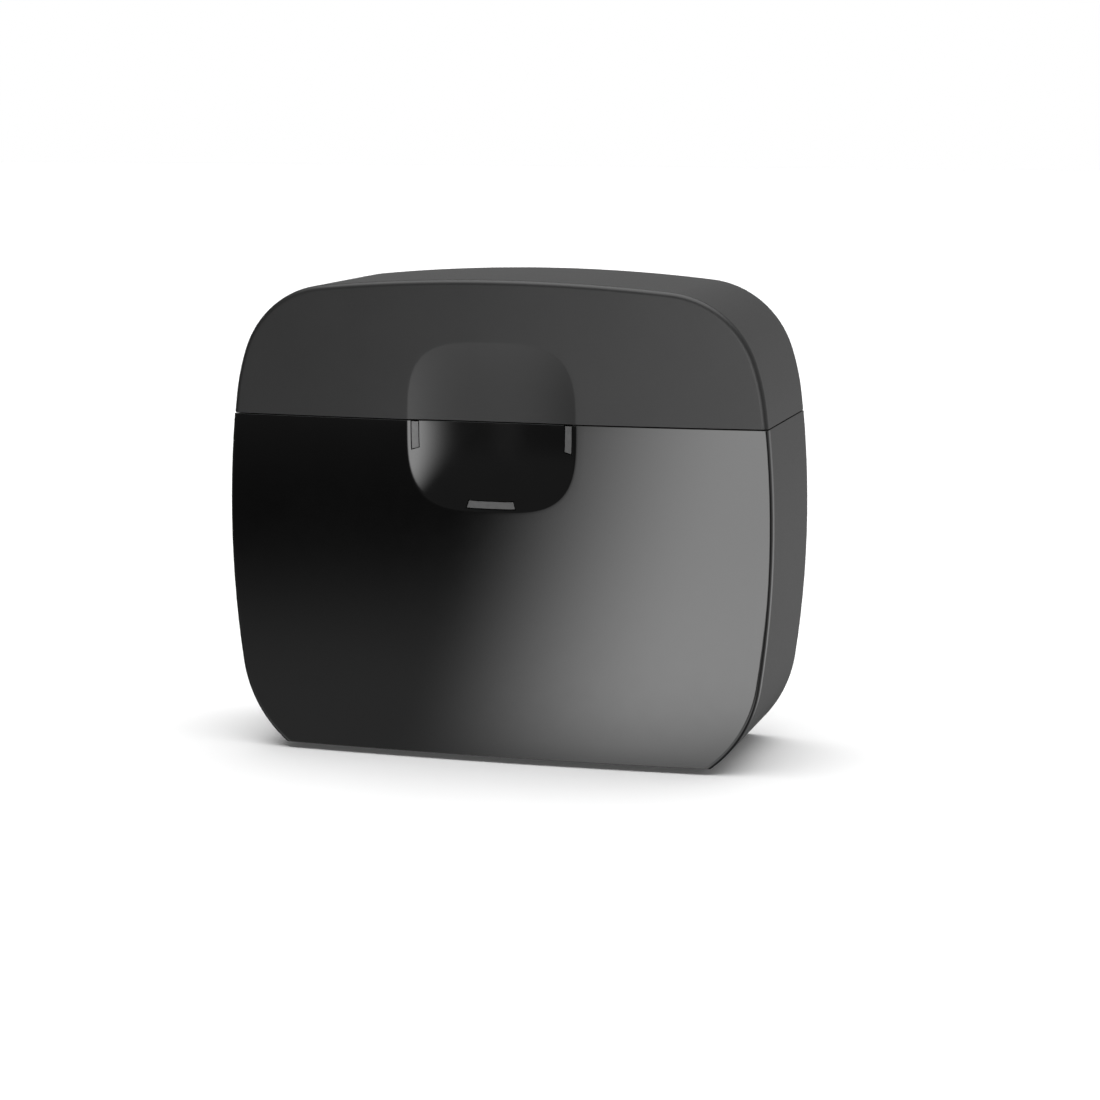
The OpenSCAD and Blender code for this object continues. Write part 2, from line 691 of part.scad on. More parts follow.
module coil_at(s) translate([s * well_x, well_y, coil_z]) difference() {
    cylinder(d = coil_d, h = coil_t);
    translate([0, 0, -bite]) cylinder(d = coil_bore, h = coil_t + 2 * bite);
}

module charging_coil_left() color("#b8733a") lift() coil_at(-1);
module charging_coil_right() color("#b8733a") lift() coil_at(1);

module ferrite_at(s) translate([s * well_x, well_y, coil_z - ferrite_t]) cylinder(d = coil_d, h = ferrite_t);

module coil_ferrite_left() color("#3b3836") lift() ferrite_at(-1);
module coil_ferrite_right() color("#3b3836") lift() ferrite_at(1);

module main_board() color("#1f5a3c") lift() difference() {
    box(-board_w / 2, board_w / 2, board_y, board_y + board_t, board_z0, board_z1);
    for (x = [-standoff_x, standoff_x], z = standoff_z)
        rod_y(peg_d + 2 * peg_fit, x, board_y - bite, board_y + board_t + bite, z);
}

module lamp_at(x, z, w, l)
    box(x - w / 2, x + w / 2, led_y, board_y, z - l / 2, z + l / 2);

module status_leds() color("#f2efe2") lift() {
    for (s = [-1, 1]) lamp_at(s * window_tm * dish_w / 2, side_lamp_z, led_w, led_l);
    lamp_at(0, case_lamp_z, led_l, led_w);
}

// chips on the back of the main board: places in pitches from its middle, then shares of the edge and height
CHIPS = [[-1, 0.6, 1, 0.8], [1, 0.6, 0.8, 0.7], [0, 1.4, 0.5, 0.6], [2, -0.4, 0.7, 1]];

module board_chips() color("#18191b") lift()
    for (c = CHIPS)
        translate([c[0] * chip_pitch, board_y + board_t, (board_z0 + board_z1) / 2 + c[1] * chip_pitch])
            box(-c[2] * chip_w / 2, c[2] * chip_w / 2, 0, c[3] * chip_h, -c[2] * chip_w / 2, c[2] * chip_w / 2);

module usb_board() color("#1f5a3c") lift() difference() {
    translate([0, usb_board_y, floor_t + usb_lift])
        box(-usb_board_w / 2, usb_board_w / 2, -usb_board_l / 2, usb_board_l / 2, 0, board_t);
    for (x = [-usb_peg_x, usb_peg_x]) translate([x, usb_peg_y, floor_t])
        cylinder(d = peg_d + 2 * peg_fit, h = usb_lift + board_t + bite);
}

module usb_socket() color("#c4c6c8") lift()
    translate([0, usb_mouth_y, usb_z]) rotate([90, 90, 0]) difference() {
        linear_extrude(usb_l) stadium(usb_h, usb_w);
        translate([0, 0, -bite]) linear_extrude(usb_l - usb_back + bite)
            stadium(usb_h - 2 * usb_wall, usb_w - 2 * usb_wall);
    }

module usb_tongue() color("#202124") lift()
    box(-tongue_w / 2, tongue_w / 2, usb_mouth_y - usb_l + usb_back, usb_mouth_y - tongue_recess,
        usb_z - tongue_t / 2, usb_z + tongue_t / 2);

module base_magnets() color("#c9ccd0") lift()
    for (s = [-1, 1]) translate([s * magnet_x, -magnet_y, deck_z - magnet_skin - magnet_t])
        cylinder(d = magnet_d, h = magnet_t);

module hinge_pin() color("#c9ccd0") lift()
    hinge_rod(pin_d / 2, -hinge_len / 2, hinge_len / 2);

module lid_shell() color("#333436") lift() difference() {
    union() {
        difference() {
            intersection() {
                case_form(lid_edge_r);
                band(lid_bottom, case_h + bite);
            }
            prism(wall, wall, wall, seam_z - bite, case_h);
            // room for the base's knuckles
            for (s = [0, 1]) mirror([s, 0, 0])
                hinge_rod(swing_r, lid_knuckle_len / 2, hinge_len / 2 + knuckle_gap);
        }
        // thickened back of the dish
        intersection() {
            dish_block(dish_rim, front_y0 + wall / 2, cup_y);
            band(lid_bottom, case_h);
        }
        hinge_rod(barrel_r, -lid_knuckle_len / 2, lid_knuckle_len / 2);
    }
    dish_cut();
    hinge_rod(pin_d / 2 + pin_play, -hinge_len / 2, hinge_len / 2);
}

module lid_liner() color("#47494d") lift() difference() {
    union() {
        difference() {
            prism(wall + liner_gap, wall + liner_gap, wall + liner_gap, liner_z, case_h);
            prism(liner_in, liner_in, liner_in, liner_z - bite, case_h);
        }
        // seats of the magnets, joined to the side walls
        intersection() {
            prism(wall + liner_gap, wall + liner_gap, wall + liner_gap, liner_z, case_h);
            for (s = [0, 1]) mirror([s, 0, 0]) translate([0, -magnet_y, liner_z]) {
                translate([magnet_x, 0, 0]) cylinder(d = boss_d, h = magnet_skin + magnet_t);
                box(magnet_x, case_w / 2, -boss_d / 2, boss_d / 2, 0, magnet_skin + magnet_t);
            }
        }
    }
    for (s = [-1, 1]) translate([s * magnet_x, -magnet_y, liner_z + magnet_skin])
        cylinder(d = magnet_d + 2 * magnet_fit, h = magnet_t + bite);
    dish_block(dish_rim + dish_gap, front_y0, front_y0 + liner_in + bite);
    hinge_rod(swing_r + liner_gap, -hinge_len / 2 - bite, hinge_len / 2 + bite);
}

module lid_pad_at(s) intersection() {
    prism(liner_in, liner_in, liner_in, seam_z, case_h);
    translate([s * well_x, well_y, case_h - liner_in - lid_pad_h]) linear_extrude(case_h)
        stadium(lid_pad_w, lid_pad_l);
}

module lid_pad_left() color("#5a5c60") lift() lid_pad_at(-1);
module lid_pad_right() color("#5a5c60") lift() lid_pad_at(1);

module lid_magnets() color("#c9ccd0") lift()
    for (s = [-1, 1]) translate([s * magnet_x, -magnet_y, liner_z + magnet_skin])
        cylinder(d = magnet_d, h = magnet_t);

base_shell();
front_panel();
light_guide_left();
light_guide_right();
light_guide_case();
foot_pad();
housing_screws();
chassis();
battery_tape();
battery_cell();
battery_lead();
charging_tray();
charging_coil_left();
charging_coil_right();
coil_ferrite_left();
coil_ferrite_right();
main_board();
status_leds();
board_chips();
usb_board();
usb_socket();
usb_tongue();
link_flex();
base_magnets();
hinge_pin();
lid_shell();
lid_liner();
lid_pad_left();
lid_pad_right();
lid_magnets();
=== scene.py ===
"""Looks of the hearing aid charging case: smooth shells, gloss front plate, dressed inside and studio."""

import json
import math

import bmesh
import bpy
import numpy as np
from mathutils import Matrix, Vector


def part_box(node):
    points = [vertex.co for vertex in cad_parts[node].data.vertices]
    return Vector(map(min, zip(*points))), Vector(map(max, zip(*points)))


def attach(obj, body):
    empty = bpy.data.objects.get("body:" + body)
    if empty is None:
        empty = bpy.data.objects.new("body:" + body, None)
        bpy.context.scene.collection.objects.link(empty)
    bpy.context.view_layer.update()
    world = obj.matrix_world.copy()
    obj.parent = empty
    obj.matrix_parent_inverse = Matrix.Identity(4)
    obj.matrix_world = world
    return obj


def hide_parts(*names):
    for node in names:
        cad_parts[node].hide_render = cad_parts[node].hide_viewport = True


bl_info = {
    "name": "Hearing aid charging case",
    "version": (1, 0, 0),
    "blender": (4, 5, 0),
    "location": "View3D > Sidebar > Charging case",
    "description": "Builds the skins, finishes and studio of a hearing aid charging case",
    "category": "Object",
}

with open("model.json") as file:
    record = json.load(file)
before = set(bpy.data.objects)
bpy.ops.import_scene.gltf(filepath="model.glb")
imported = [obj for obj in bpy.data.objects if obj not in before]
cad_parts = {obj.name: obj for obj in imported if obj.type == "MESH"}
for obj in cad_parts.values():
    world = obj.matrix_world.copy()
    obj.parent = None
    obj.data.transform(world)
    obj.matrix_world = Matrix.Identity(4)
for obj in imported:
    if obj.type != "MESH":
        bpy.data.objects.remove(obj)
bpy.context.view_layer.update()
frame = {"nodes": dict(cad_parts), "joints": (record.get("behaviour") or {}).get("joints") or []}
MM = 0.001
# how far a cutter runs on past the faces that it cuts: as a rule, beside other pieces, and over the deck
FAR, NEAR, OVER_DECK = 3 * MM, 1 * MM, 2 * MM
# small overlap or step between pieces that touch
TOUCH = 0.01 * MM
# corners closer than this are one corner
MERGE = 1e-7
# a corner less than this off the line between its neighbours is idle
IDLE_BEND = 0.001 * MM
# step for the slopes of the dished front, and how far a corner on it may lie off it
SLOPE_STEP = 2e-6
# a face of the dished front looks at least this much towards -Y
FACES_FRONT = 0.5
# reach of the blocks that cut away all that lies above or below a height, in metres
REACH = 1
# steps along the straight ground line, along the rays of a plain face, and round the dish and turned pieces
GROUND_STEPS, RAY_STEPS, DISH_STEPS, LATHE_STEPS = 14, 18, 96, 48
# steps of a quarter turn on the ends of rods, the edge of the foot pad and the edges of the tray
ROD_STEPS, FOOT_STEPS, TRAY_STEPS = 4, 5, 6
# halvings that find where a ray crosses the dish's edge
HALVINGS = 48
# rings of a dished face, as shares of the way to the dish's edge and of the way on to the outline
INNER_RINGS = np.concatenate([np.linspace(0, 0.94, 18), [0.975, 0.99, 1.0]])
OUTER_RINGS = np.concatenate([[0.006, 0.015], np.linspace(0.05, 1, 14)])
# shares of the dish's reach at which the block in front of it has its rings
HOLLOW_RINGS = np.linspace(0, 1.2, 13)[1:]
# points along and across a status window
GUIDE_GRID = 15, 7
# the socket's mouth bends at this share of its flare
FLARE_BEND = 0.3
# a magnet seat in the lid: its root, in linings from the outermost point, and the points round its nose
SEAT_ROOT, NOSE_POINTS = 1.2, 25
# fillets of the wells and the bowl, and the deck's upper edge as a share of the inner edge
WELL_FILLET, BOWL_FILLET, DECK_EDGE = 1.2 * MM, 2.5 * MM, 0.6
# soft pads in the lid: share of the half width that the dome draws in, share of the height that it takes,
# the powers of both curves, steps, waist with its places and shares, and room over the pad
DOME_DRAW, DOME_RISE, DRAW_POWER, RISE_POWER, DOME_STEPS = 0.86, 0.55, 1.6, 0.9, 12
WAIST, WAIST_PLACES, PAD_ROOM = 0.25 * MM, ((0.75, 1), (0.9, 0.6)), 0.6 * MM
# foot pad's edge, and its pips: sides, width of the tip, and height with the root that lies in the pad
FOOT_EDGE, PIP_SIDES, PIP_TIP, PIP_ROOT = 0.35 * MM, 12, 0.72, 1.2
# coils: steps in a turn, sides of the wire, layers, and the distance of turns in wires
COIL_STEPS, WIRE_SIDES, LAYERS, WINDING = 40, 8, 2, 1.03
# the contacts' middle lies this many of their lengths behind the tongue's tip
CONTACT_BACK = 0.65
# camera as fitted to the photo: sensor in millimetres, focal length and width of the photo in pixels, place,
# and its turns down and to the left in degrees
SENSOR, FOCAL, PHOTO_WIDTH = 36, 2822.9, 1100
CAMERA_PLACE = 121.43 * MM, -409.67 * MM, 100.1 * MM
CAMERA_DOWN, CAMERA_LEFT = 9.333, 15.905
# floor's half width in metres
FLOOR_REACH = 3.0
# light from everywhere, and the studio's lights: strength and the soft edges inside which each one shines.
# An edge is a direction and the values of the dot product with it where the light starts and is full.
AMBIENT = 0.03
AHEAD, BEHIND = ((0, -1, 0), 0.2, 0.7), ((0, 1, 0), 0.7, 0.95)
LIGHTS = {
    "overhead": (3.3, ((0, 0, 1), 0.68, 0.92)),
    "card_on_the_right": (4.33, ((1, 0, -0.7), -0.216, 0.034), ((0, -1, 0), 0.6, 0.9),
                          ((0, 0, -1), -0.3, -0.1), ((0, 0, -1), 0.256, 0.212)),
    "near_floor": (0.335, AHEAD, ((0, 0, -1), 0.148, 0.212)),
    "deep_floor": (1.4, AHEAD, ((0, 0, -1), 0.24, 0.5)),
    "front_fill": (0.105, AHEAD, ((0, 0, 1), -0.15, -0.09)),
    "beside": (0.05, ((0, 1, 0), -0.7, -0.2)),
    "side": (0.5, ((0.9, 0.42, 0.1), 0.6, 0.95)),
    "high_behind": (0.28, BEHIND, ((0, 0, 1), -0.2, 0.0)),
    "low_behind": (0.5, BEHIND, ((0, 0, -1), 0.0, 0.2), ((1, 0, 0), -0.1, 0.2))}
# values of noise between which roughness and colour run
NOISE_SPAN, TINT_SPAN = (0.3, 0.7), (0.35, 0.65)
BASE, LID = "base", "lid"
# status windows: the right one and its mirror image, and the one at the bottom of the dish
MIRROR = {"left": -1, "right": 1, "case": 1}
HINGE = frame["joints"][0]["pos_m"]


def low(node):
    """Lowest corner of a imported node."""
    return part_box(node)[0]


def high(node):
    """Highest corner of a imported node."""
    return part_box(node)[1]


def middle(node):
    """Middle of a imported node's box."""
    return (low(node) + high(node)) / 2


def extent(node):
    """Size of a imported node's box."""
    return high(node) - low(node)


def length(name, description, millimetres):
    """A length that the user can change, given in millimetres."""
    return bpy.props.FloatProperty(name=name, description=description, default=millimetres * MM, precision=5,
                                   subtype="DISTANCE", unit="LENGTH")


def angle(name, description, degrees):
    """An angle that the user can change, given in degrees."""
    return bpy.props.FloatProperty(name=name, description=description, default=math.radians(degrees),
                                   subtype="ANGLE", unit="ROTATION")


def colour(name, description, red, green, blue):
    """A colour that the user can change, as linear values."""
    return bpy.props.FloatVectorProperty(name=name, description=description, default=(red, green, blue),
                                         size=3, min=0.0, max=1.0, subtype="COLOR")


class CaseSizes(bpy.types.PropertyGroup):
    """Sizes of the case's form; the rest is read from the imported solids."""

    side_r: length("Side radius", "Radius of the bulging sides", 155)
    side_z: length("Side height", "Height of the widest line above the shell's underside", 34.4)
    top_r: length("Top radius", "Radius of the top edge, seen from the front", 270)
    shoulder_r: length("Shoulder radius", "Radius where a side turns into its shoulder", 34)
    shoulder_a: angle("Shoulder turn", "Direction at which the shoulder turns into the corner", 19)
    corner_r: length("Corner radius", "Radius of the upper corners", 14.8)
    foot_r: length("Foot radius", "Radius of the lower corners", 19)
    foot_sink: length("Foot sink", "How far the lower corners would run below the underside", 4)
    crown_r: length("Crown radius", "Plan radius of the crowned front and back", 500)
    edge_r: length("Base fillet", "Fillet along the edges of the base and its front plate", 0.6)
    lid_edge_r: length("Lid fillet", "Fillet along the edges of the lid", 0.85)
    inner_round: length("Inner edge", "Fillet inside the mouldings", 0.5)
    wall: length("Wall", "Wall of the lid and of the upper edge of the base", 1.8)
    ledge_w: length("Ledge", "Width of the ledge that carries the tray", 1.2)
    floor_t: length("Floor", "Thickness of the base's floor", 2.4)
    front_wall: length("Front wall", "Wall of the base behind the front plate", 1.4)
    seam_round: length("Seam edge", "Rounding of the edges along the seam", 0.06)
    panel_t: length("Plate thickness", "Thickness of the gloss front plate", 1.6)
    panel_round: length("Plate edge", "Rounding of the front plate's lower edge", 0.12)
    rim_round: length("Rim edge", "Rounding of the shell's edge beside the plate", 0.04)
    dish_w: length("Dish width", "Width of the thumb dish", 25.8)
    dish_h: length("Dish height", "Height of the thumb dish", 24.9)
    dish_drop: length("Dish drop", "How far the middle of the dish lies below the seam", 0.7)
    dish_depth: length("Dish depth", "Depth of the dish in its middle", 0.75)
    dish_skin: length("Dish skin", "Thickness of the plate in the middle of the dish", 1.2)
    dish_rim: length("Dish border", "Width of the thickened border behind the dish", 1.6)
    dish_gap: length("Dish gap", "Gap round that border in the shell", 0.3)
    dish_soft: length("Dish edge", "Softness of the dish's edge", 0.012)
    window_inset: length("Side window inset", "Distance of the side windows from the edge of the dish", 0.45)
    case_inset: length("Bottom window inset", "Distance of the bottom window from the edge of the dish", 0.2)
    window_w: length("Window width", "Width of a status window", 1.3)
    window_drop: length("Side window", "Length of the side windows below the seam", 4.3)
    window_open: angle("Side window turn", "How far the side windows run on above the dish's middle", 12)
    window_l: length("Bottom window", "Length of the window at the bottom of the dish", 7.4)
    guide_gap: length("Guide gap", "Gap round a light guide in its window", 0.15)
    liner_gap: length("Lining gap", "Gap between lid and lining", 0.15)
    liner_t: length("Lining", "Thickness of the lid's lining", 1.2)
    liner_fillet: length("Lining fillet", "Fillet inside the lining", 1.6)
    knuckle_gap: length("Knuckle gap", "Gap between neighbouring knuckles", 0.2)
    swing_gap: length("Swing gap", "Room round a knuckle in the other half", 0.3)
    pin_play: length("Pin play", "Radial play of the pin in the lid's knuckle", 0.05)
    pin_fit: length("Pin fit", "Radial fit of the pin in the base's knuckles", 0.01)
    knuckle_round: length("Knuckle edge", "Rounded ends of the knuckles", 0.25)
    pad_corner: length("Pad corner", "Corner radius of the foot pad", 4)
    pad_fit: length("Pad fit", "Clearance round the foot pad and the screw heads", 0.15)
    screw_d: length("Screw", "Diameter of the screw shanks", 2)
    screw_fit: length("Screw fit", "Radial clearance of the screws", 0.03)
    head_d: length("Screw head", "Diameter of the screw heads", 3.6)
    head_h: length("Head height", "Height of the screw heads", 0.9)
    standoff_d: length("Standoff", "Diameter of the standoffs under the boards", 4)
    peg_d: length("Peg", "Diameter of the pegs that hold the boards", 1.4)
    peg_rise: length("Peg rise", "How far a peg stands out of its board", 0.4)
    usb_fit: length("Socket fit", "Clearance round the charging socket", 0.2)
    usb_flare: length("Socket flare", "Flared edge of the socket's mouth", 0.35)
    magnet_wall: length("Magnet wall", "Wall round a magnet", 1.2)
    magnet_fit: length("Magnet fit", "Radial clearance of a magnet", 0.05)
    deck_t: length("Deck", "Thickness of the tray's deck", 1.6)
    well_w: length("Well width", "Width of a charging well", 9)
    well_l: length("Well length", "Length of a charging well", 15)
    tray_wall: length("Tray wall", "Wall of the wells and the bowl", 1.2)
    tray_fit: length("Tray fit", "Clearance of the tray in the shell", 0.15)
    bowl_w: length("Bowl width", "Width of the bowl", 22)
    bowl_depth: length("Bowl depth", "Depth of the bowl", 14)
    bowl_corner: length("Bowl corner", "Corner radius of the bowl", 4)
    channel_w: length("Slot width", "Width of the slot for an ear wire", 4)
    channel_depth: length("Slot depth", "Depth of the slot for an ear wire", 6)
    mouth_round: length("Mouth rounding", "Rounded edge of the wells, bowl and slots", 0.7)
    dish_n: bpy.props.FloatProperty(name="Dish squareness", description="2 is an ellipse", default=3.4)
    dish_p: bpy.props.FloatProperty(name="Dish hollow", description="2 is a parabola", default=3.5)


class CaseColours(bpy.types.PropertyGroup):
    """Colours of the finishes, as linear values."""

    shell: colour("Shell", "Matt moulded shell", 0.014, 0.014, 0.014)
    gloss: colour("Plate", "Gloss front plate", 0.0015, 0.0015, 0.0015)
    guide: colour("Light guide", "Unlit status window", 0.085, 0.085, 0.085)
    tray: colour("Tray", "Charging tray and lining", 0.02, 0.02, 0.021)
    rubber: colour("Rubber", "Foot pad", 0.02, 0.02, 0.02)
    soft: colour("Soft pad", "Elastomer pads in the lid", 0.06, 0.06, 0.064)
    steel: colour("Steel", "Pin, screws and socket", 0.55, 0.56, 0.58)
    copper: colour("Copper", "Coil winding", 0.62, 0.27, 0.1)
    board: colour("Board", "Solder mask", 0.012, 0.09, 0.04)
    gold: colour("Gold", "Contacts", 0.75, 0.5, 0.16)
    black: colour("Black body", "Chips and the socket's tongue", 0.012, 0.012, 0.013)
    film: colour("Amber film", "Battery lead and ribbon", 0.34, 0.15, 0.03)
    nickel: colour("Nickel", "Magnets", 0.62, 0.62, 0.6)
    ferrite: colour("Ferrite", "Plates behind the coils", 0.03, 0.028, 0.026)
    lamp: colour("Lamp", "Status lamps on the board", 0.75, 0.68, 0.42)
    foil: colour("Foil", "Battery pouch", 0.5, 0.53, 0.56)
    tape: colour("Tape", "Foam tape under the battery", 0.55, 0.52, 0.43)
    chassis: colour("Chassis", "Carrier inside the base", 0.06, 0.065, 0.075)
    floor: colour("Floor", "Pale studio floor", 0.9, 0.9, 0.9)


class Form:
    """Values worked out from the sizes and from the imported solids, in metres."""

    def __init__(self, sizes):
        self.s = sizes
        self.bottom = low("base_shell").z
        self.top = high("lid_shell").z
        self.half_w = high("base_shell").x
        self.half_d = -low("front_panel").y
        self.base_top = high("front_panel").z
        self.seam = HINGE[2]
        self.lid_bottom = 2 * self.seam - self.base_top
        self.deck = high("charging_tray").z
        self.ledge = self.deck - sizes.deck_t
        self.cup_y = -self.half_d + sizes.dish_depth + sizes.dish_skin
        self.dish_z = self.seam - sizes.dish_drop
        self.side_depth = sizes.wall + sizes.ledge_w
        self.front_depth = sizes.panel_t + sizes.front_wall
        self.well = middle("charging_coil_right")
        self.pin_half = extent("hinge_pin").x / 2
        self.pin_r = extent("hinge_pin").z / 2
        self.barrel_r = self.seam - low("lid_shell").z
        self.arcs()

    def arcs(self):
        """Centres of the arcs that make the right half of the outline."""
        s = self.s
        self.side_c = np.array([self.half_w - s.side_r, self.bottom + s.side_z])
        self.top_c = np.array([0.0, self.top - s.top_r])
        shift = (s.shoulder_r - s.corner_r) * turn(s.shoulder_a)
        self.corner_c = circles_meet(self.side_c + shift, s.side_r - s.shoulder_r,
                                     self.top_c, s.top_r - s.corner_r)
        self.shoulder_c = self.corner_c - shift
        foot_z = self.bottom + s.foot_r - s.foot_sink
        reach = math.sqrt((s.side_r - s.foot_r) ** 2 - (foot_z - self.side_c[1]) ** 2)
        self.foot_c = np.array([self.side_c[0] + reach, foot_z])

    def front_y(self, x, depth=0.0):
        """The crowned front, set in by a depth."""
        r = self.s.crown_r
        return r - self.half_d - np.sqrt((r - depth) ** 2 - np.square(x))

    def back_y(self, x, depth=0.0):
        """The crowned back, set in by a depth."""
        return -self.front_y(x, depth)

    def dish_share(self, x, z):
        """Share of the way from the middle of the dish to its edge."""
        s = self.s
        across = np.abs(2 * np.asarray(x) / s.dish_w) ** s.dish_n
        upright = np.abs(2 * (np.asarray(z) - self.dish_z) / s.dish_h) ** s.dish_n
        return (across + upright) ** (1 / s.dish_n)

    def dish_point(self, share, direction):
        """Point in the front's plane at a share of the dish's reach in a direction."""
        step = turn(direction)
        reach = 1 / self.dish_share(step[..., 0], step[..., 1] + self.dish_z)
        return np.array([0.0, self.dish_z]) + step * (np.asarray(share) * reach)[..., None]

    def dished_y(self, x, z):
        """The crowned front with the thumb dish sunk into it."""
        s = self.s
        sink = s.dish_depth * (1 - self.dish_share(x, z) ** s.dish_p)
        return self.front_y(x) + (sink + np.sqrt(sink ** 2 + 4 * s.dish_soft ** 2)) / 2

    def dish_slopes(self, x, z):
        """Slopes of the dished front sideways and upwards."""
        step = SLOPE_STEP
        sideways = (self.dished_y(x + step, z) - self.dished_y(x - step, z)) / (2 * step)
        upwards = (self.dished_y(x, z + step) - self.dished_y(x, z - step)) / (2 * step)
        return sideways, upwards

    def upper_edge(self, inset, z_cut):
        """Outline above a height, from the right over the top to the left."""
        s = self.s
        start = math.asin((z_cut - self.side_c[1]) / (s.side_r - inset))
        shoulder = bearing(self.side_c, self.shoulder_c)
        top = bearing(self.top_c, self.corner_c)
        half = np.concatenate([
            arc(self.side_c, s.side_r - inset, start, shoulder, steps=5),
            arc(self.shoulder_c, s.shoulder_r - inset, shoulder, s.shoulder_a, steps=5),
            arc(self.corner_c, s.corner_r - inset, s.shoulder_a, top, steps=16),
            arc(self.top_c, s.top_r - inset, top, math.pi / 2, steps=14)])
        return mirrored(half, (0.0, self.top - inset))

    def lower_edge(self, inset, z_cut, ground):
        """Outline below a height, from the right along the ground to the left."""
        s = self.s
        start = math.asin((z_cut - self.side_c[1]) / (s.side_r - inset))
        side_r, foot_r = s.side_r - inset, s.foot_r - inset
        side = bearing(self.side_c, self.foot_c)
        if ground > self.side_c[1] + side_r * math.sin(side):
            stop = math.asin((ground - self.side_c[1]) / side_r)
            half = arc(self.side_c, side_r, start, stop, steps=26)
            corner = self.side_c + side_r * turn(stop)
        else:
            foot = -math.asin(min(1.0, (self.foot_c[1] - ground) / foot_r))
            half = np.concatenate([arc(self.side_c, side_r, start, side, steps=12),
                                   arc(self.foot_c, foot_r, side, foot, steps=14)])
            corner = self.foot_c + foot_r * turn(foot)
        shares = np.linspace(1, 0, GROUND_STEPS + 1)[:-1, None]
        along = shares * np.array([[corner[0], 0.0]]) + np.array([[0.0, ground]])
        return mirrored(np.concatenate([half, along]), (0.0, ground))


def turn(a):
    """Unit vectors in directions of the plane."""
    return np.stack([np.cos(a), np.sin(a)], -1)


def all_round(steps):
    """Even directions all the way round."""
    return np.linspace(0, 2 * math.pi, steps, endpoint=False)


def bearing(start, end):
    """Direction from one point to another."""
    return math.atan2(end[1] - start[1], end[0] - start[0])


def circles_meet(c0, r0, c1, r1):
    """Where two circles cross on the right."""
    span = c1 - c0
    d = np.linalg.norm(span)
    e = span / d
    along = (r0 * r0 - r1 * r1 + d * d) / (2 * d)
    off = math.sqrt(r0 * r0 - along * along)
    foot = c0 + along * e
    normal = np.array([-e[1], e[0]])
    return max(foot + off * normal, foot - off * normal, key=lambda p: p[0])


def arc(centre, radius, start, end, steps):
    """Points of an arc without its last one."""
    return centre + radius * turn(np.linspace(start, end, steps + 1)[:-1])


def mirrored(half, last):
    """A right half, its last point on the middle line, and the left half."""
    return np.concatenate([half, [last], half[::-1] * [-1, 1]])


def add_grid(bm, points):
    """Adds a grid of points as quads."""
    rows, columns = points.shape[:2]
    verts = [[bm.verts.new(p) for p in row] for row in points]
    for i in range(rows - 1):
        for j in range(columns - 1):
            bm.faces.new((verts[i][j], verts[i][j + 1], verts[i + 1][j + 1], verts[i + 1][j]))


def deep(points, y):
    """Points of the front's plane with their depths, in space."""
    return np.stack([points[..., 0], y, points[..., 1]], -1)


def fan(edge, centre_z, shares):
    """Points from a centre on the middle line to each point of an edge, at shares of the way."""
    centre = np.array([0.0, centre_z])
    return centre + shares[..., None] * (edge - centre)[:, None, :]


def even_shares(count, steps):
    """The same even steps on every ray of a fan."""
    return np.tile(np.linspace(0, 1, steps + 1), (count, 1))


def dish_shares(form, edge, centre_z):
    """Steps of a fan that follow the edge of the dish, with two close rings on each side of it."""
    centre = np.array([0.0, centre_z])
    near, far = np.zeros(len(edge)), np.ones(len(edge))
    for _ in range(HALVINGS):
        mid = (near + far) / 2
        p = centre + mid[:, None] * (edge - centre)
        inside = form.dish_share(p[:, 0], p[:, 1]) < 1
        near, far = np.where(inside, mid, near), np.where(inside, far, mid)
    near = near[:, None]
    return np.concatenate([near * INNER_RINGS, near + (1 - near) * OUTER_RINGS], 1)


def boundary_loop(bm):
    """Vertices along the open edge of a skin, in order."""
    edges = [e for e in bm.edges if e.is_boundary]
    here = edges[0].verts[0]
    loop, used = [here], set()
    while True:
        step = next((e for e in here.link_edges if e.is_boundary and e not in used), None)
        if step is None:
            break
        used.add(step)
        here = step.other_vert(here)
        if here is loop[0]:
            break
        loop.append(here)
    if len(used) != len(edges):
        raise RuntimeError("a skin has more than one open edge")
    return loop


def close_rim(bm, z_end, steps=3):
    """Rounds a skin's open edge over to a flat face at a height and fills that face."""
    loop = boundary_loop(bm)
    plan = np.array([v.co[:2] for v in loop])
    start = loop[0].co.z
    radius = abs(start - z_end)
    along = np.roll(plan, -1, 0) - np.roll(plan, 1, 0)
    normal = np.stack([along[:, 1], -along[:, 0]], -1)
    normal /= np.linalg.norm(normal, axis=1)[:, None]
    area = np.sum(plan[:, 0] * np.roll(plan[:, 1], -1) - plan[:, 1] * np.roll(plan[:, 0], -1))
    inward = -normal if area > 0 else normal
    previous = loop
    for k in range(1, steps + 1):
        a = math.pi / 2 * k / steps
        ring_plan = plan + inward * radius * (1 - math.cos(a))
        z = start + (z_end - start) * math.sin(a)
        ring = [bm.verts.new((p[0], p[1], z)) for p in ring_plan]
        for i in range(len(ring)):
            j = (i + 1) % len(ring)
            bm.faces.new((previous[i], previous[j], ring[j], ring[i]))
        previous = ring
    bm.faces.new(previous)


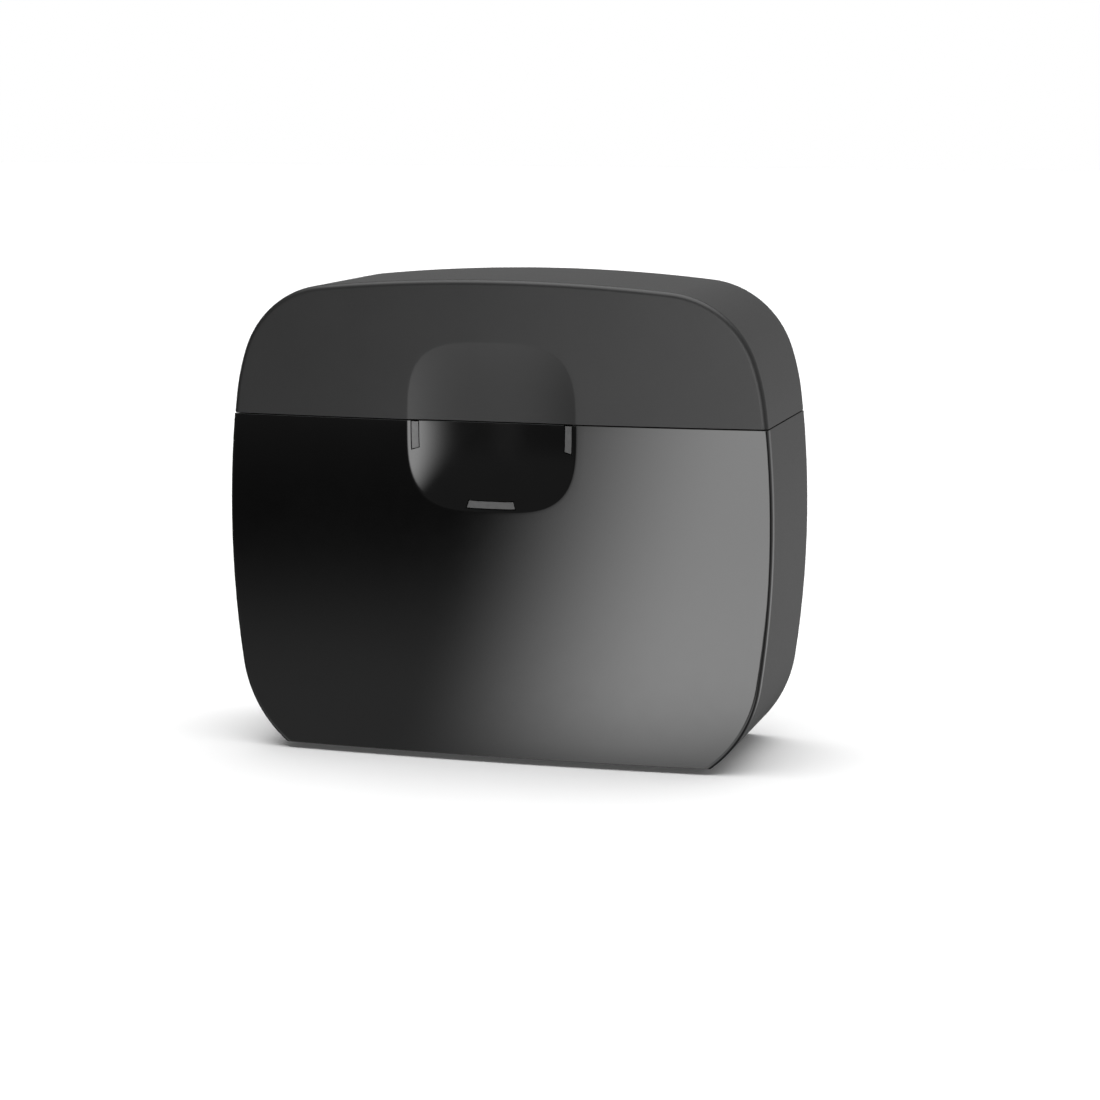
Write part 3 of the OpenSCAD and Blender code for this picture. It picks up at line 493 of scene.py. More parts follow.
def pillow(edge, rows, centre_z, front, back, z_end, front_shares=None):
    """Closed skin across the depth of the case.

    edge(inset) gives the outline, rows are (inset, depth line) from front to back, and front and back give
    the depth of the two faces. The open edge at the seam is rounded over to z_end.
    """
    bm = bmesh.new()
    first, last = edge(rows[0][0]), edge(rows[-1][0])
    shares = front_shares(first, centre_z) if front_shares else even_shares(len(first), RAY_STEPS)
    points = fan(first, centre_z, shares)
    add_grid(bm, deep(points, front(points[..., 0], points[..., 1])))
    strip = []
    for inset, depth in rows:
        line = edge(inset)
        strip.append(deep(line, depth(line[:, 0])))
    add_grid(bm, np.stack(strip, 1))
    points = fan(last, centre_z, even_shares(len(last), RAY_STEPS))
    add_grid(bm, deep(points, back(points[..., 0], points[..., 1])))
    bmesh.ops.remove_doubles(bm, verts=bm.verts, dist=MERGE)
    close_rim(bm, z_end)
    bmesh.ops.recalc_face_normals(bm, faces=bm.faces)
    return bm


def quarter(steps):
    """Even turns from 0 to a right angle."""
    return [math.pi / 2 * k / steps for k in range(steps + 1)]


def fillet_steps(inset, fillet, steps=10):
    """Inset and depth along a fillet, from its face to its side."""
    turns = reversed(quarter(steps))
    return [(inset + fillet * (1 - math.cos(a)), fillet * (1 - math.sin(a))) for a in turns]


def filleted_rows(form, inset, faces, fillets, side_steps=6):
    """Rows of a skin whose front and back edges are filleted; faces are the depths of front and back."""
    front, back = faces
    rows = [(d, lambda x, t=t: form.front_y(x, front + t)) for d, t in fillet_steps(inset, fillets[0])]
    for k in range(1, side_steps):
        f = k / side_steps
        rows.append((inset, lambda x, f=f: (1 - f) * form.front_y(x, front + fillets[0])
                     + f * form.back_y(x, back + fillets[1])))
    ends = reversed(fillet_steps(inset, fillets[1]))
    return rows + [(d, lambda x, t=t: form.back_y(x, back + t)) for d, t in ends]


def upper_body(form, inset, fillet, z_cut, round_over, dished=False):
    """Closed skin of the case above a height, set in from the outer form."""
    start = z_cut + round_over
    front = form.dished_y if dished else lambda x, z: form.front_y(x, inset)
    shares = (lambda edge, z: dish_shares(form, edge, z)) if dished else None
    return pillow(lambda d: form.upper_edge(d, start),
                  filleted_rows(form, inset, (inset, inset), (fillet, fillet)),
                  start, front, lambda x, z: form.back_y(x, inset), z_cut, shares)


def lower_body(form, inset, faces, fillets, z_cut, ground, round_over):
    """Closed skin of the case below a height and above a ground line, set in from the outer form."""
    start = z_cut - round_over
    return pillow(lambda d: form.lower_edge(d, start, ground + d - inset),
                  filleted_rows(form, inset, faces, fillets), start,
                  lambda x, z: form.front_y(x, faces[0]), lambda x, z: form.back_y(x, faces[1]), z_cut)


def loft(loops):
    """Closed skin through a stack of loops with flat ends."""
    bm = bmesh.new()
    rings = [[bm.verts.new(p) for p in loop] for loop in loops]
    count = len(rings[0])
    for a, b in zip(rings, rings[1:]):
        for i in range(count):
            j = (i + 1) % count
            bm.faces.new((a[i], a[j], b[j], b[i]))
    bm.faces.new(rings[0])
    bm.faces.new(rings[-1])
    bmesh.ops.recalc_face_normals(bm, faces=bm.faces)
    return bm


def across(loop, y):
    """A loop of the front's plane at one depth."""
    return [(p[0], y, p[1]) for p in loop]


def level(loop, z):
    """A plan loop at one height."""
    return [(p[0], p[1], z) for p in loop]


def stadium(width, length_y, centre, steps=24):
    """Plan loop with straight sides and round ends."""
    r, run = width / 2, (length_y - width) / 2
    end = r * turn(np.linspace(0, math.pi, steps + 1)) + np.array([0.0, run])
    return np.concatenate([end, -end]) + np.array(centre)


def rounded(width, length_y, corner, centre, steps=10):
    """Plan loop of a rectangle with round corners."""
    points = []
    for k, (sx, sy) in enumerate(((1, 1), (-1, 1), (-1, -1), (1, -1))):
        a = np.linspace(k, k + 1, steps + 1) * math.pi / 2
        middle_point = np.array([sx * (width / 2 - corner), sy * (length_y / 2 - corner)])
        points.append(middle_point + corner * turn(a))
    return np.concatenate(points) + np.array(centre)


def lathe(profile, origin, axis):
    """Closed turned piece along an axis, from (place on the axis, radius) points."""
    circle = turn(all_round(LATHE_STEPS))
    loops = []
    for place, radius in profile:
        ring = np.tile(np.array(origin, float), (LATHE_STEPS, 1))
        ring[:, axis] = place
        ring[:, (axis + 1) % 3] += radius * circle[:, 0]
        ring[:, (axis + 2) % 3] += radius * circle[:, 1]
        loops.append(ring)
    return loft(loops)


def rod(start, end, radius, origin, axis, edge=0.0):
    """Round rod between two places on an axis, with rounded ends if an edge radius is given."""
    if edge == 0:
        return lathe([(start, radius), (end, radius)], origin, axis)
    curve = [(edge * (1 - math.sin(a)), radius - edge * (1 - math.cos(a))) for a in quarter(ROD_STEPS)]
    first = [(start + along, r) for along, r in reversed(curve)]
    last = [(end - along, r) for along, r in curve]
    return lathe(first + last, origin, axis)


def hinge_rod(start, end, radius, edge=0.0):
    """Round rod on the hinge axis."""
    return rod(start, end, radius, HINGE, 0, edge)


def block(lowest, highest):
    """Closed box between two corners."""
    (x0, y0, z0), (x1, y1, z1) = lowest, highest
    base = [(x0, y0), (x1, y0), (x1, y1), (x0, y1)]
    return loft([level(base, z0), level(base, z1)])


def all_below(z):
    """Block that cuts away everything below a height."""
    return block((-REACH, -REACH, -REACH), (REACH, REACH, z))


def all_above(z):
    """Block that cuts away everything above a height."""
    return block((-REACH, -REACH, z), (REACH, REACH, REACH))


def piece(name, bm):
    """Object of a skin, at the origin."""
    mesh = bpy.data.meshes.new(name)
    bm.to_mesh(mesh)
    bm.free()
    obj = bpy.data.objects.new(name, mesh)
    bpy.context.scene.collection.objects.link(obj)
    return obj


def bake_modifiers(obj):
    """Turns an object with modifiers into a plain mesh."""
    bpy.context.view_layer.update()
    evaluated = obj.evaluated_get(bpy.context.evaluated_depsgraph_get())
    mesh = bpy.data.meshes.new_from_object(evaluated)
    obj.modifiers.clear()
    old, obj.data = obj.data, mesh
    mesh.name = obj.name
    if old.users == 0:
        bpy.data.meshes.remove(old)


def combine(obj, operation, *tools):
    """Cuts skins or objects from an object or joins them to it, one after the other, and uses them up."""
    for tool in tools:
        if isinstance(tool, bmesh.types.BMesh):
            tool = piece("tool", tool)
        mod = obj.modifiers.new("combine", "BOOLEAN")
        mod.operation = operation
        mod.solver = "MANIFOLD"
        mod.object = tool
        bake_modifiers(obj)
        mesh = tool.data
        bpy.data.objects.remove(tool)
        bpy.data.meshes.remove(mesh)
    if len(obj.data.polygons) == 0:
        raise RuntimeError(f"{obj.name} has no faces left")


def drop_idle_corners(obj):
    """Takes out corners on a straight line between two faces, where both could get the same triangle."""
    bm = bmesh.new()
    bm.from_mesh(obj.data)
    idle = []
    for v in bm.verts:
        if len(v.link_edges) != 2:
            continue
        to_first, to_second = [e.other_vert(v).co - v.co for e in v.link_edges]
        if to_first.cross(to_second).length < IDLE_BEND * (to_second - to_first).length:
            idle.append(v)
    bmesh.ops.dissolve_verts(bm, verts=idle)
    bm.to_mesh(obj.data)
    bm.free()


def smooth(obj, sharp_degrees=32):
    """Smooth shading that keeps sharp edges and follows the larger faces."""
    drop_idle_corners(obj)
    obj.data.shade_smooth()
    obj.data.set_sharp_from_angle(angle=math.radians(sharp_degrees))
    mod = obj.modifiers.new("normals", "WEIGHTED_NORMAL")
    mod.keep_sharp = True
    bake_modifiers(obj)


def true_front(obj, form):
    """Gives the dished front its exact normals, so that reflections run without a break."""
    mesh = obj.data
    normals = [tuple(n.vector) for n in mesh.corner_normals]
    for poly in mesh.polygons:
        co = np.array([mesh.vertices[v].co for v in poly.vertices])
        off = np.abs(co[:, 1] - form.dished_y(co[:, 0], co[:, 2]))
        if poly.normal.y > -FACES_FRONT or off.max() > SLOPE_STEP:
            continue
        for loop, gx, gz in zip(poly.loop_indices, *form.dish_slopes(co[:, 0], co[:, 2])):
            normals[loop] = Vector((gx, -1, gz)).normalized()
    mesh.normals_split_custom_set(normals)


def dress(obj, material, body, slot, *replaced):
    """Gives a piece its finish and its body and hides the solids that it stands for; the slot is not used.
    """
    obj.data.materials.clear()
    obj.data.materials.append(material)
    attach(obj, body)
    if replaced:
        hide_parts(*replaced)
    return obj


class Nodes:
    """A node tree under construction."""

    def __init__(self, tree):
        self.tree = tree

    def feed(self, socket, value):
        """Joins an input to another socket, or gives it a fixed value."""
        if isinstance(value, bpy.types.NodeSocket):
            self.tree.links.new(value, socket)
        else:
            socket.default_value = value

    def node(self, kind, *ordered, operation=None, **named):
        """New node whose inputs are given in order or by name."""
        made = self.tree.nodes.new(kind)
        if operation:
            made.operation = operation
        for socket, value in zip(made.inputs, ordered):
            self.feed(socket, value)
        for label, value in named.items():
            self.feed(made.inputs[label.replace("_", " ")], value)
        return made


class Finish(Nodes):
    """A material under construction: its nodes, its shader and its object coordinates."""

    def __init__(self, name):
        self.material = bpy.data.materials.new(name)
        self.material.use_nodes = True
        super().__init__(self.material.node_tree)
        self.shader = self.tree.nodes["Principled BSDF"]
        self.place = self.node("ShaderNodeTexCoord").outputs["Object"]

    def set(self, **values):
        """Feeds the shader's own inputs."""
        for key, value in values.items():
            self.feed(self.shader.inputs[key.replace("_", " ")], value)

    def noise(self, size, detail=2.0, roughness=0.5):
        """Noise whose features have about this size."""
        return self.node("ShaderNodeTexNoise", Vector=self.place, Scale=1 / size, Detail=detail,
                         Roughness=roughness).outputs["Fac"]

    def tint(self, factor, rgb, darkest, lightest):
        """Colour that runs between a darker and a lighter shade with a factor."""
        ramp = self.node("ShaderNodeValToRGB", Fac=factor)
        for element, position, share in zip(ramp.color_ramp.elements, TINT_SPAN, (darkest, lightest)):
            element.position = position
            element.color = (*shade(rgb, share), 1)
        self.set(Base_Color=ramp.outputs["Color"])

    def rough(self, factor, least, most):
        """Roughness that runs between two values with a factor."""
        start, end = NOISE_SPAN
        span = self.node("ShaderNodeMapRange", Value=factor, From_Min=start, From_Max=end, To_Min=least,
                         To_Max=most)
        self.set(Roughness=span.outputs["Result"])

    def bump(self, factor, depth, strength=1.0):
        """Relief of a given depth from a factor."""
        made = self.node("ShaderNodeBump", Height=factor, Distance=depth, Strength=strength)
        self.set(Normal=made.outputs["Normal"])


def shade(rgb, factor):
    """A colour made lighter or darker."""
    return tuple(min(1.0, c * factor) for c in rgb)


def moulded(name, rgb, rough=(0.38, 0.46), grain=0.16 * MM, relief=0.004 * MM, mottle=0.06):
    """Moulded plastic: fine spark-eroded grain, faint flow mottle and uneven sheen."""
    f = Finish(name)
    f.tint(f.noise(9 * MM, 3.0), rgb, 1 - mottle, 1 + mottle)
    fine = f.noise(grain, 3.0, 0.6)
    f.rough(fine, *rough)
    f.bump(fine, relief)
    f.set(IOR=1.49, Specular_IOR_Level=0.45)
    return f.material


def shell_finish(context):
    """The one finish of lid and base."""
    name = "moulded_shell"
    return bpy.data.materials.get(name) or moulded(name, context.scene.case_colours.shell)


def gloss_black(name, rgb):
    """High gloss plastic: nearly black, with a faint long ripple from the mould."""
    f = Finish(name)
    f.tint(f.noise(14 * MM), rgb, 0.85, 1.15)
    f.rough(f.noise(2.5 * MM), 0.065, 0.075)
    f.bump(f.noise(7 * MM, 1.0), 0.0001 * MM, 0.5)
    f.set(IOR=1.58)
    return f.material


def smoked(name, rgb):
    """Smoked light guide: satin face with a soft cloud inside."""
    f = Finish(name)
    f.tint(f.noise(0.7 * MM), rgb, 0.92, 1.08)
    f.rough(f.noise(0.3 * MM), 0.3, 0.38)
    f.bump(f.noise(0.2 * MM), 0.002 * MM)
    f.set(IOR=1.5)
    return f.material


def metal(name, rgb, rough=(0.24, 0.36), stretch=(1.0, 14.0, 14.0)):
    """Drawn or plated metal with a lengthwise grain."""
    f = Finish(name)
    f.place = f.node("ShaderNodeMapping", Vector=f.place, Scale=stretch).outputs["Vector"]
    streak = f.noise(0.3 * MM)
    f.tint(streak, rgb, 0.86, 1.06)
    f.rough(streak, *rough)
    f.bump(streak, 0.002 * MM, 0.4)
    f.set(Metallic=1.0)
    return f.material


def printed_board(name, rgb):
    """Solder mask over copper tracks."""
    f = Finish(name)
    turned = f.node("ShaderNodeMapping", Vector=f.place, Rotation=(math.pi / 2, 0, 0))
    tracks = f.node("ShaderNodeTexBrick", Vector=turned.outputs["Vector"], Scale=1 / (3.2 * MM),
                    Mortar_Size=0.06, Color1=(*shade(rgb, 0.9), 1), Color2=(*rgb, 1),
                    Mortar=(*shade(rgb, 2.1), 1))
    tracks.offset = 0.37
    tracks.squash = 1.6
    f.rough(f.noise(1.5 * MM), 0.22, 0.34)
    f.bump(tracks.outputs["Fac"], 0.02 * MM, 0.5)
    f.set(Base_Color=tracks.outputs["Color"])
    return f.material


def wrapped_foil(name, rgb):
    """Pouch foil with soft dents."""
    f = Finish(name)
    f.tint(f.noise(5 * MM), rgb, 0.9, 1.08)
    f.rough(f.noise(1.2 * MM), 0.3, 0.45)
    f.bump(f.noise(4 * MM), 0.06 * MM, 0.6)
    f.set(Metallic=0.9)
    return f.material


def window(form, place, gap):
    """Inner and outer share of the dish and first and last direction of a window, narrowed by a gap."""
    s = form.s
    at_bottom = place == "case"
    reach, inset = (s.dish_h / 2, s.case_inset) if at_bottom else (s.dish_w / 2, s.window_inset)
    shares = 1 - (inset + s.window_w - gap) / reach, 1 - (inset + gap) / reach
    middle_reach = reach - inset - s.window_w / 2
    trim = math.atan2(gap, s.dish_w / 2)
    if at_bottom:
        half = math.atan2(s.window_l / 2, middle_reach) - trim
        return *shares, -math.pi / 2 - half, -math.pi / 2 + half
    return *shares, trim - math.atan2(s.window_drop - s.dish_drop, middle_reach), s.window_open


def window_loop(form, place, steps=10):
    """Outline of a window in the front's plane."""
    inner, outer, first, last = window(form, place, 0)
    a = np.linspace(first, last, steps + 1)
    points = np.concatenate([form.dish_point(np.full(len(a), outer), a),
                             form.dish_point(np.full(len(a), inner), a[::-1])])
    return points * np.array([MIRROR[place], 1])


def dish_block(form, more, y0, y1):
    """Closed block with the outline of the dish, wider by a margin."""
    a = all_round(DISH_STEPS)
    outline = form.dish_point(np.ones(DISH_STEPS), a) + more * turn(a)
    return loft([across(outline, y0), across(outline, y1)])


def dish_hollow(form):
    """Closed block in front of the dished surface, used to trim what lies behind it."""
    rings = [form.dish_point(np.full(DISH_STEPS, t), all_round(DISH_STEPS)) for t in HOLLOW_RINGS]
    loops = [deep(ring, form.dished_y(ring[:, 0], ring[:, 1]) + 2 * TOUCH) for ring in rings]
    return loft([*loops, across(rings[-1], -form.half_d - FAR)])


def knuckles(form):
    """Spans of the lid's knuckle and of the base's two knuckles on the hinge axis."""
    gap, end = form.s.knuckle_gap, form.pin_half
    # the lid's solid reaches below this height at its knuckle only
    height = form.seam - form.barrel_r / 2
    half = max(abs(v.co.x) for v in frame["nodes"]["lid_shell"].data.vertices if v.co.z < height)
    return (-half, half), [(half + gap, end), (-end, -half - gap)]


class CASE_OT_lid_shell(bpy.types.Operator):
    """Make the matt lid with its half of the dish and its hinge knuckle"""

    bl_idname = "case.lid_shell"
    bl_label = "Lid shell"

    def execute(self, context):
        form = Form(context.scene.case_sizes)
        s = form.s
        swing = form.barrel_r + s.swing_gap
        lid_span, base_spans = knuckles(form)
        obj = piece("lid_moulding",
                    upper_body(form, 0, s.lid_edge_r, form.lid_bottom, s.seam_round, dished=True))
        combine(obj, "DIFFERENCE",
                upper_body(form, s.wall, s.inner_round, form.lid_bottom - FAR, s.inner_round))
        boss = piece("boss", dish_block(form, s.dish_rim, -form.half_d + s.wall / 2, form.cup_y))
        combine(boss, "DIFFERENCE", dish_hollow(form), all_below(form.lid_bottom + s.seam_round))
        combine(obj, "UNION", boss)
        combine(obj, "DIFFERENCE",
                *[hinge_rod(a - s.knuckle_gap, b + s.knuckle_gap, swing) for a, b in base_spans])
        combine(obj, "UNION", hinge_rod(*lid_span, form.barrel_r, s.knuckle_round))
        combine(obj, "DIFFERENCE", hinge_rod(-form.pin_half, form.pin_half, form.pin_r + s.pin_play))
        smooth(obj)
        true_front(obj, form)
        dress(obj, shell_finish(context), LID, "matt_shell", "lid_shell")
        return {"FINISHED"}


class CASE_OT_base_shell(bpy.types.Operator):
    """Make the matt base with its plate seat, cavity, hinge knuckles and socket mouth"""

    bl_idname = "case.base_shell"
    bl_label = "Base shell"

    def execute(self, context):
        form = Form(context.scene.case_sizes)
        s = form.s
        obj = piece("base_moulding", lower_body(form, 0, (s.panel_t, 0), (s.rim_round, s.edge_r),
                                                form.base_top, form.bottom, s.seam_round))
        lid_span, base_spans = knuckles(form)
        combine(obj, "DIFFERENCE", *self.rooms(form), hinge_rod(
            lid_span[0] - s.knuckle_gap, lid_span[1] + s.knuckle_gap, form.barrel_r + s.swing_gap))
        combine(obj, "UNION", *[hinge_rod(a, b, form.barrel_r, s.knuckle_round) for a, b in base_spans],
                *self.posts(form))
        pin_end = form.pin_half + TOUCH
        combine(obj, "DIFFERENCE", hinge_rod(-pin_end, pin_end, form.pin_r + s.pin_fit), *self.seats(form),
                socket_mouth(form))
        smooth(obj)
        dress(obj, shell_finish(context), BASE, "matt_shell", "base_shell")
        return {"FINISHED"}

    def rooms(self, form):
        """Cutters of the room inside, of the tray's place and of the way for the back of the dish."""
        s = form.s
        top, rounds = form.base_top + FAR, (s.inner_round, s.inner_round)
        front = -form.half_d
        return [lower_body(form, form.side_depth, (form.front_depth, form.side_depth), rounds, top,
                           form.bottom + s.floor_t, s.inner_round),
                lower_body(form, s.wall, (form.front_depth, s.wall), rounds, top, form.ledge, s.inner_round),
                dish_block(form, s.dish_rim + s.dish_gap, front, front + form.front_depth + FAR)]

    def posts(self, form):
        """Standoffs and pegs of the two boards."""
        s = form.s
        made = []
        standoff_r, peg_r, rise = s.standoff_d / 2, s.peg_d / 2, s.peg_rise
        main_low, main_high = low("main_board"), high("main_board")
        usb_low, usb_high = low("usb_board"), high("usb_board")
        for side in (-1, 1):
            x = side * (main_high.x - standoff_r)
            start = float(form.front_y(x, s.panel_t)) + s.front_wall / 2
            for z in (main_low.z + standoff_r, main_high.z - standoff_r):
                made.append(rod(start, main_low.y, standoff_r, (x, 0, z), 1))
                made.append(rod(start, main_high.y + rise, peg_r, (x, 0, z), 1, rise))
            place = side * (usb_high.x - standoff_r), usb_low.y + standoff_r, 0
            start = form.bottom + s.floor_t / 2
            made.append(rod(start, usb_low.z, standoff_r, place, 2))
            made.append(rod(start, usb_high.z + rise, peg_r, place, 2, rise))
        return made

    def seats(self, form):
        """Cutters of the foot pad's seat and of the screws' holes."""
        s = form.s
        pad, screw = extent("foot_pad"), high("housing_screws")
        shank_r, head_r = s.screw_d / 2 + s.screw_fit, s.head_d / 2 + s.pad_fit
        plan = rounded(pad.x + 2 * s.pad_fit, pad.y + 2 * s.pad_fit, s.pad_corner + s.pad_fit, (0, 0))
        made = [loft([level(plan, -FAR), level(plan, high("foot_pad").z)])]
        for x in (s.head_d / 2 - screw.x, screw.x - s.head_d / 2):
            for y in (s.head_d / 2 - screw.y, screw.y - s.head_d / 2):
                made.append(rod(-FAR, form.bottom + s.floor_t + FAR, shank_r, (x, y, 0), 2))
                made.append(rod(-FAR, low("housing_screws").z + s.head_h, head_r, (x, y, 0), 2))
        return made


def socket_mouth(form):
    """Cutter for the socket's mouth in the back, with a flared edge."""
    s = form.s
    socket, size = middle("usb_socket"), extent("usb_socket")
    back, flare = form.half_d, s.usb_flare
    bend = flare * FLARE_BEND
    loops = []
    for more, y in ((0, back - form.side_depth - FAR), (0, back - flare), (bend, back - bend), (flare, back),
                    (flare, back + FAR)):
        plan = stadium(size.z + 2 * (s.usb_fit + more), size.x + 2 * (s.usb_fit + more), (0, 0))
        loops.append([(p[1] + socket.x, y, p[0] + socket.z) for p in plan])
    return loft(loops)


class CASE_OT_front_panel(bpy.types.Operator):
    """Make the gloss front plate with its half of the dish and the window slots"""

    bl_idname = "case.front_panel"
    bl_label = "Front plate"

    def execute(self, context):
        form = Form(context.scene.case_sizes)
        s = form.s
        start = form.base_top - s.seam_round
        rows = [(d, lambda x, t=t: form.front_y(x, t)) for d, t in fillet_steps(0, s.edge_r)]
        rows.append((0, lambda x: form.front_y(x, s.panel_t)))
        rise = s.panel_round / s.edge_r
        bm = pillow(lambda d: form.lower_edge(d, start, form.bottom + rise * d), rows, start, form.dished_y,
                    lambda x, z: form.front_y(x, s.panel_t), form.base_top,
                    lambda edge, z: dish_shares(form, edge, z))
        obj = piece("gloss_plate", bm)
        cup = piece("cup", dish_block(form, s.dish_rim, -form.half_d + s.panel_t / 2, form.cup_y))
        combine(cup, "DIFFERENCE", dish_hollow(form), all_above(start))
        combine(obj, "UNION", cup)
        ends = -form.half_d - FAR, form.cup_y + FAR
        combine(obj, "DIFFERENCE",
                *[loft([across(window_loop(form, place), y) for y in ends]) for place in MIRROR])
        smooth(obj)
        true_front(obj, form)
        finish = gloss_black("gloss_plate", context.scene.case_colours.gloss)
        dress(obj, finish, BASE, "gloss_plate", "front_panel")
        return {"FINISHED"}


class CASE_OT_light_guides(bpy.types.Operator):
    """Make the three status windows, flush with the dish"""

    bl_idname = "case.light_guides"
    bl_label = "Light guides"

    def execute(self, context):
        form = Form(context.scene.case_sizes)
        finish = smoked("light_guide", context.scene.case_colours.guide)
        for place in MIRROR:
            node = f"light_guide_{place}"
            obj = piece(f"status_window_{place}", self.guide(form, place))
            combine(obj, "DIFFERENCE", all_above(form.base_top - form.s.guide_gap))
            flange_low, flange_high = low(node), high(node)
            flange_low.y = form.cup_y - TOUCH
            flange_high.z = min(flange_high.z, high("main_board").z)
            combine(obj, "UNION", block(flange_low, flange_high))
            smooth(obj, sharp_degrees=40)
            dress(obj, finish, BASE, "light_guide", node)
        return {"FINISHED"}

    def guide(self, form, place):
        """Closed strip of the dish between its window's edges, a touch behind the plate's surface."""
        inner, outer, first, last = window(form, place, form.s.guide_gap)
        along, wide = GUIDE_GRID
        a, t = np.meshgrid(np.linspace(first, last, along), np.linspace(inner, outer, wide), indexing="ij")
        points = form.dish_point(t, a) * np.array([MIRROR[place], 1])
        front = deep(points, form.dished_y(points[..., 0], points[..., 1]) + 2 * TOUCH)
        back = deep(points, np.full(points.shape[:2], form.cup_y))
        bm = bmesh.new()
        add_grid(bm, front)
        add_grid(bm, back)
        for cut in (np.s_[0, :], np.s_[-1, :], np.s_[:, 0], np.s_[:, -1]):
            add_grid(bm, np.stack([front[cut], back[cut]]))
        bmesh.ops.remove_doubles(bm, verts=bm.verts, dist=MERGE)
        bmesh.ops.recalc_face_normals(bm, faces=bm.faces)
        return bm


class CASE_OT_lid_liner(bpy.types.Operator):
    """Make the lining of the lid with its magnet seats"""

    bl_idname = "case.lid_liner"
    bl_label = "Lid lining"

    def execute(self, context):
        form = Form(context.scene.case_sizes)
        s = form.s
        z0 = low("lid_liner").z
        out = s.wall + s.liner_gap
        inner = out + s.liner_t
        obj = piece("lid_lining", upper_body(form, out, s.inner_round, z0, s.inner_round))
        combine(obj, "DIFFERENCE", upper_body(form, inner, s.liner_fillet, z0 - FAR, s.inner_round))
        magnet_r = extent("lid_magnets").y / 2
        seat_r, pocket_r = magnet_r + s.magnet_wall, magnet_r + s.magnet_fit
        y, top = middle("lid_magnets").y, high("lid_magnets").z
        wall_x = high("lid_liner").x - SEAT_ROOT * s.liner_t
        for side in (-1, 1):
            x = side * (high("lid_magnets").x - magnet_r)
            nose = seat_r * turn(np.linspace(math.pi / 2, 3 * math.pi / 2, NOSE_POINTS))
            nose = nose * np.array([side, 1]) + np.array([x, y])
            plan = np.concatenate([nose, [[side * wall_x, y - seat_r], [side * wall_x, y + seat_r]]])
            combine(obj, "UNION", loft([level(plan, z0 + TOUCH), level(plan, top)]))
            combine(obj, "DIFFERENCE", rod(low("lid_magnets").z, top + FAR, pocket_r, (x, y, 0), 2))
        combine(obj, "DIFFERENCE",
                dish_block(form, s.dish_rim + s.dish_gap, -form.half_d, -form.half_d + inner + NEAR),
                hinge_rod(-form.pin_half - NEAR, form.pin_half + NEAR,
                          form.barrel_r + s.swing_gap + s.liner_gap))
        smooth(obj)
        finish = moulded("lid_lining", context.scene.case_colours.tray, rough=(0.5, 0.6), grain=0.22 * MM,
                         relief=0.008 * MM)
        dress(obj, finish, LID, "tray_plastic", "lid_liner")
        return {"FINISHED"}


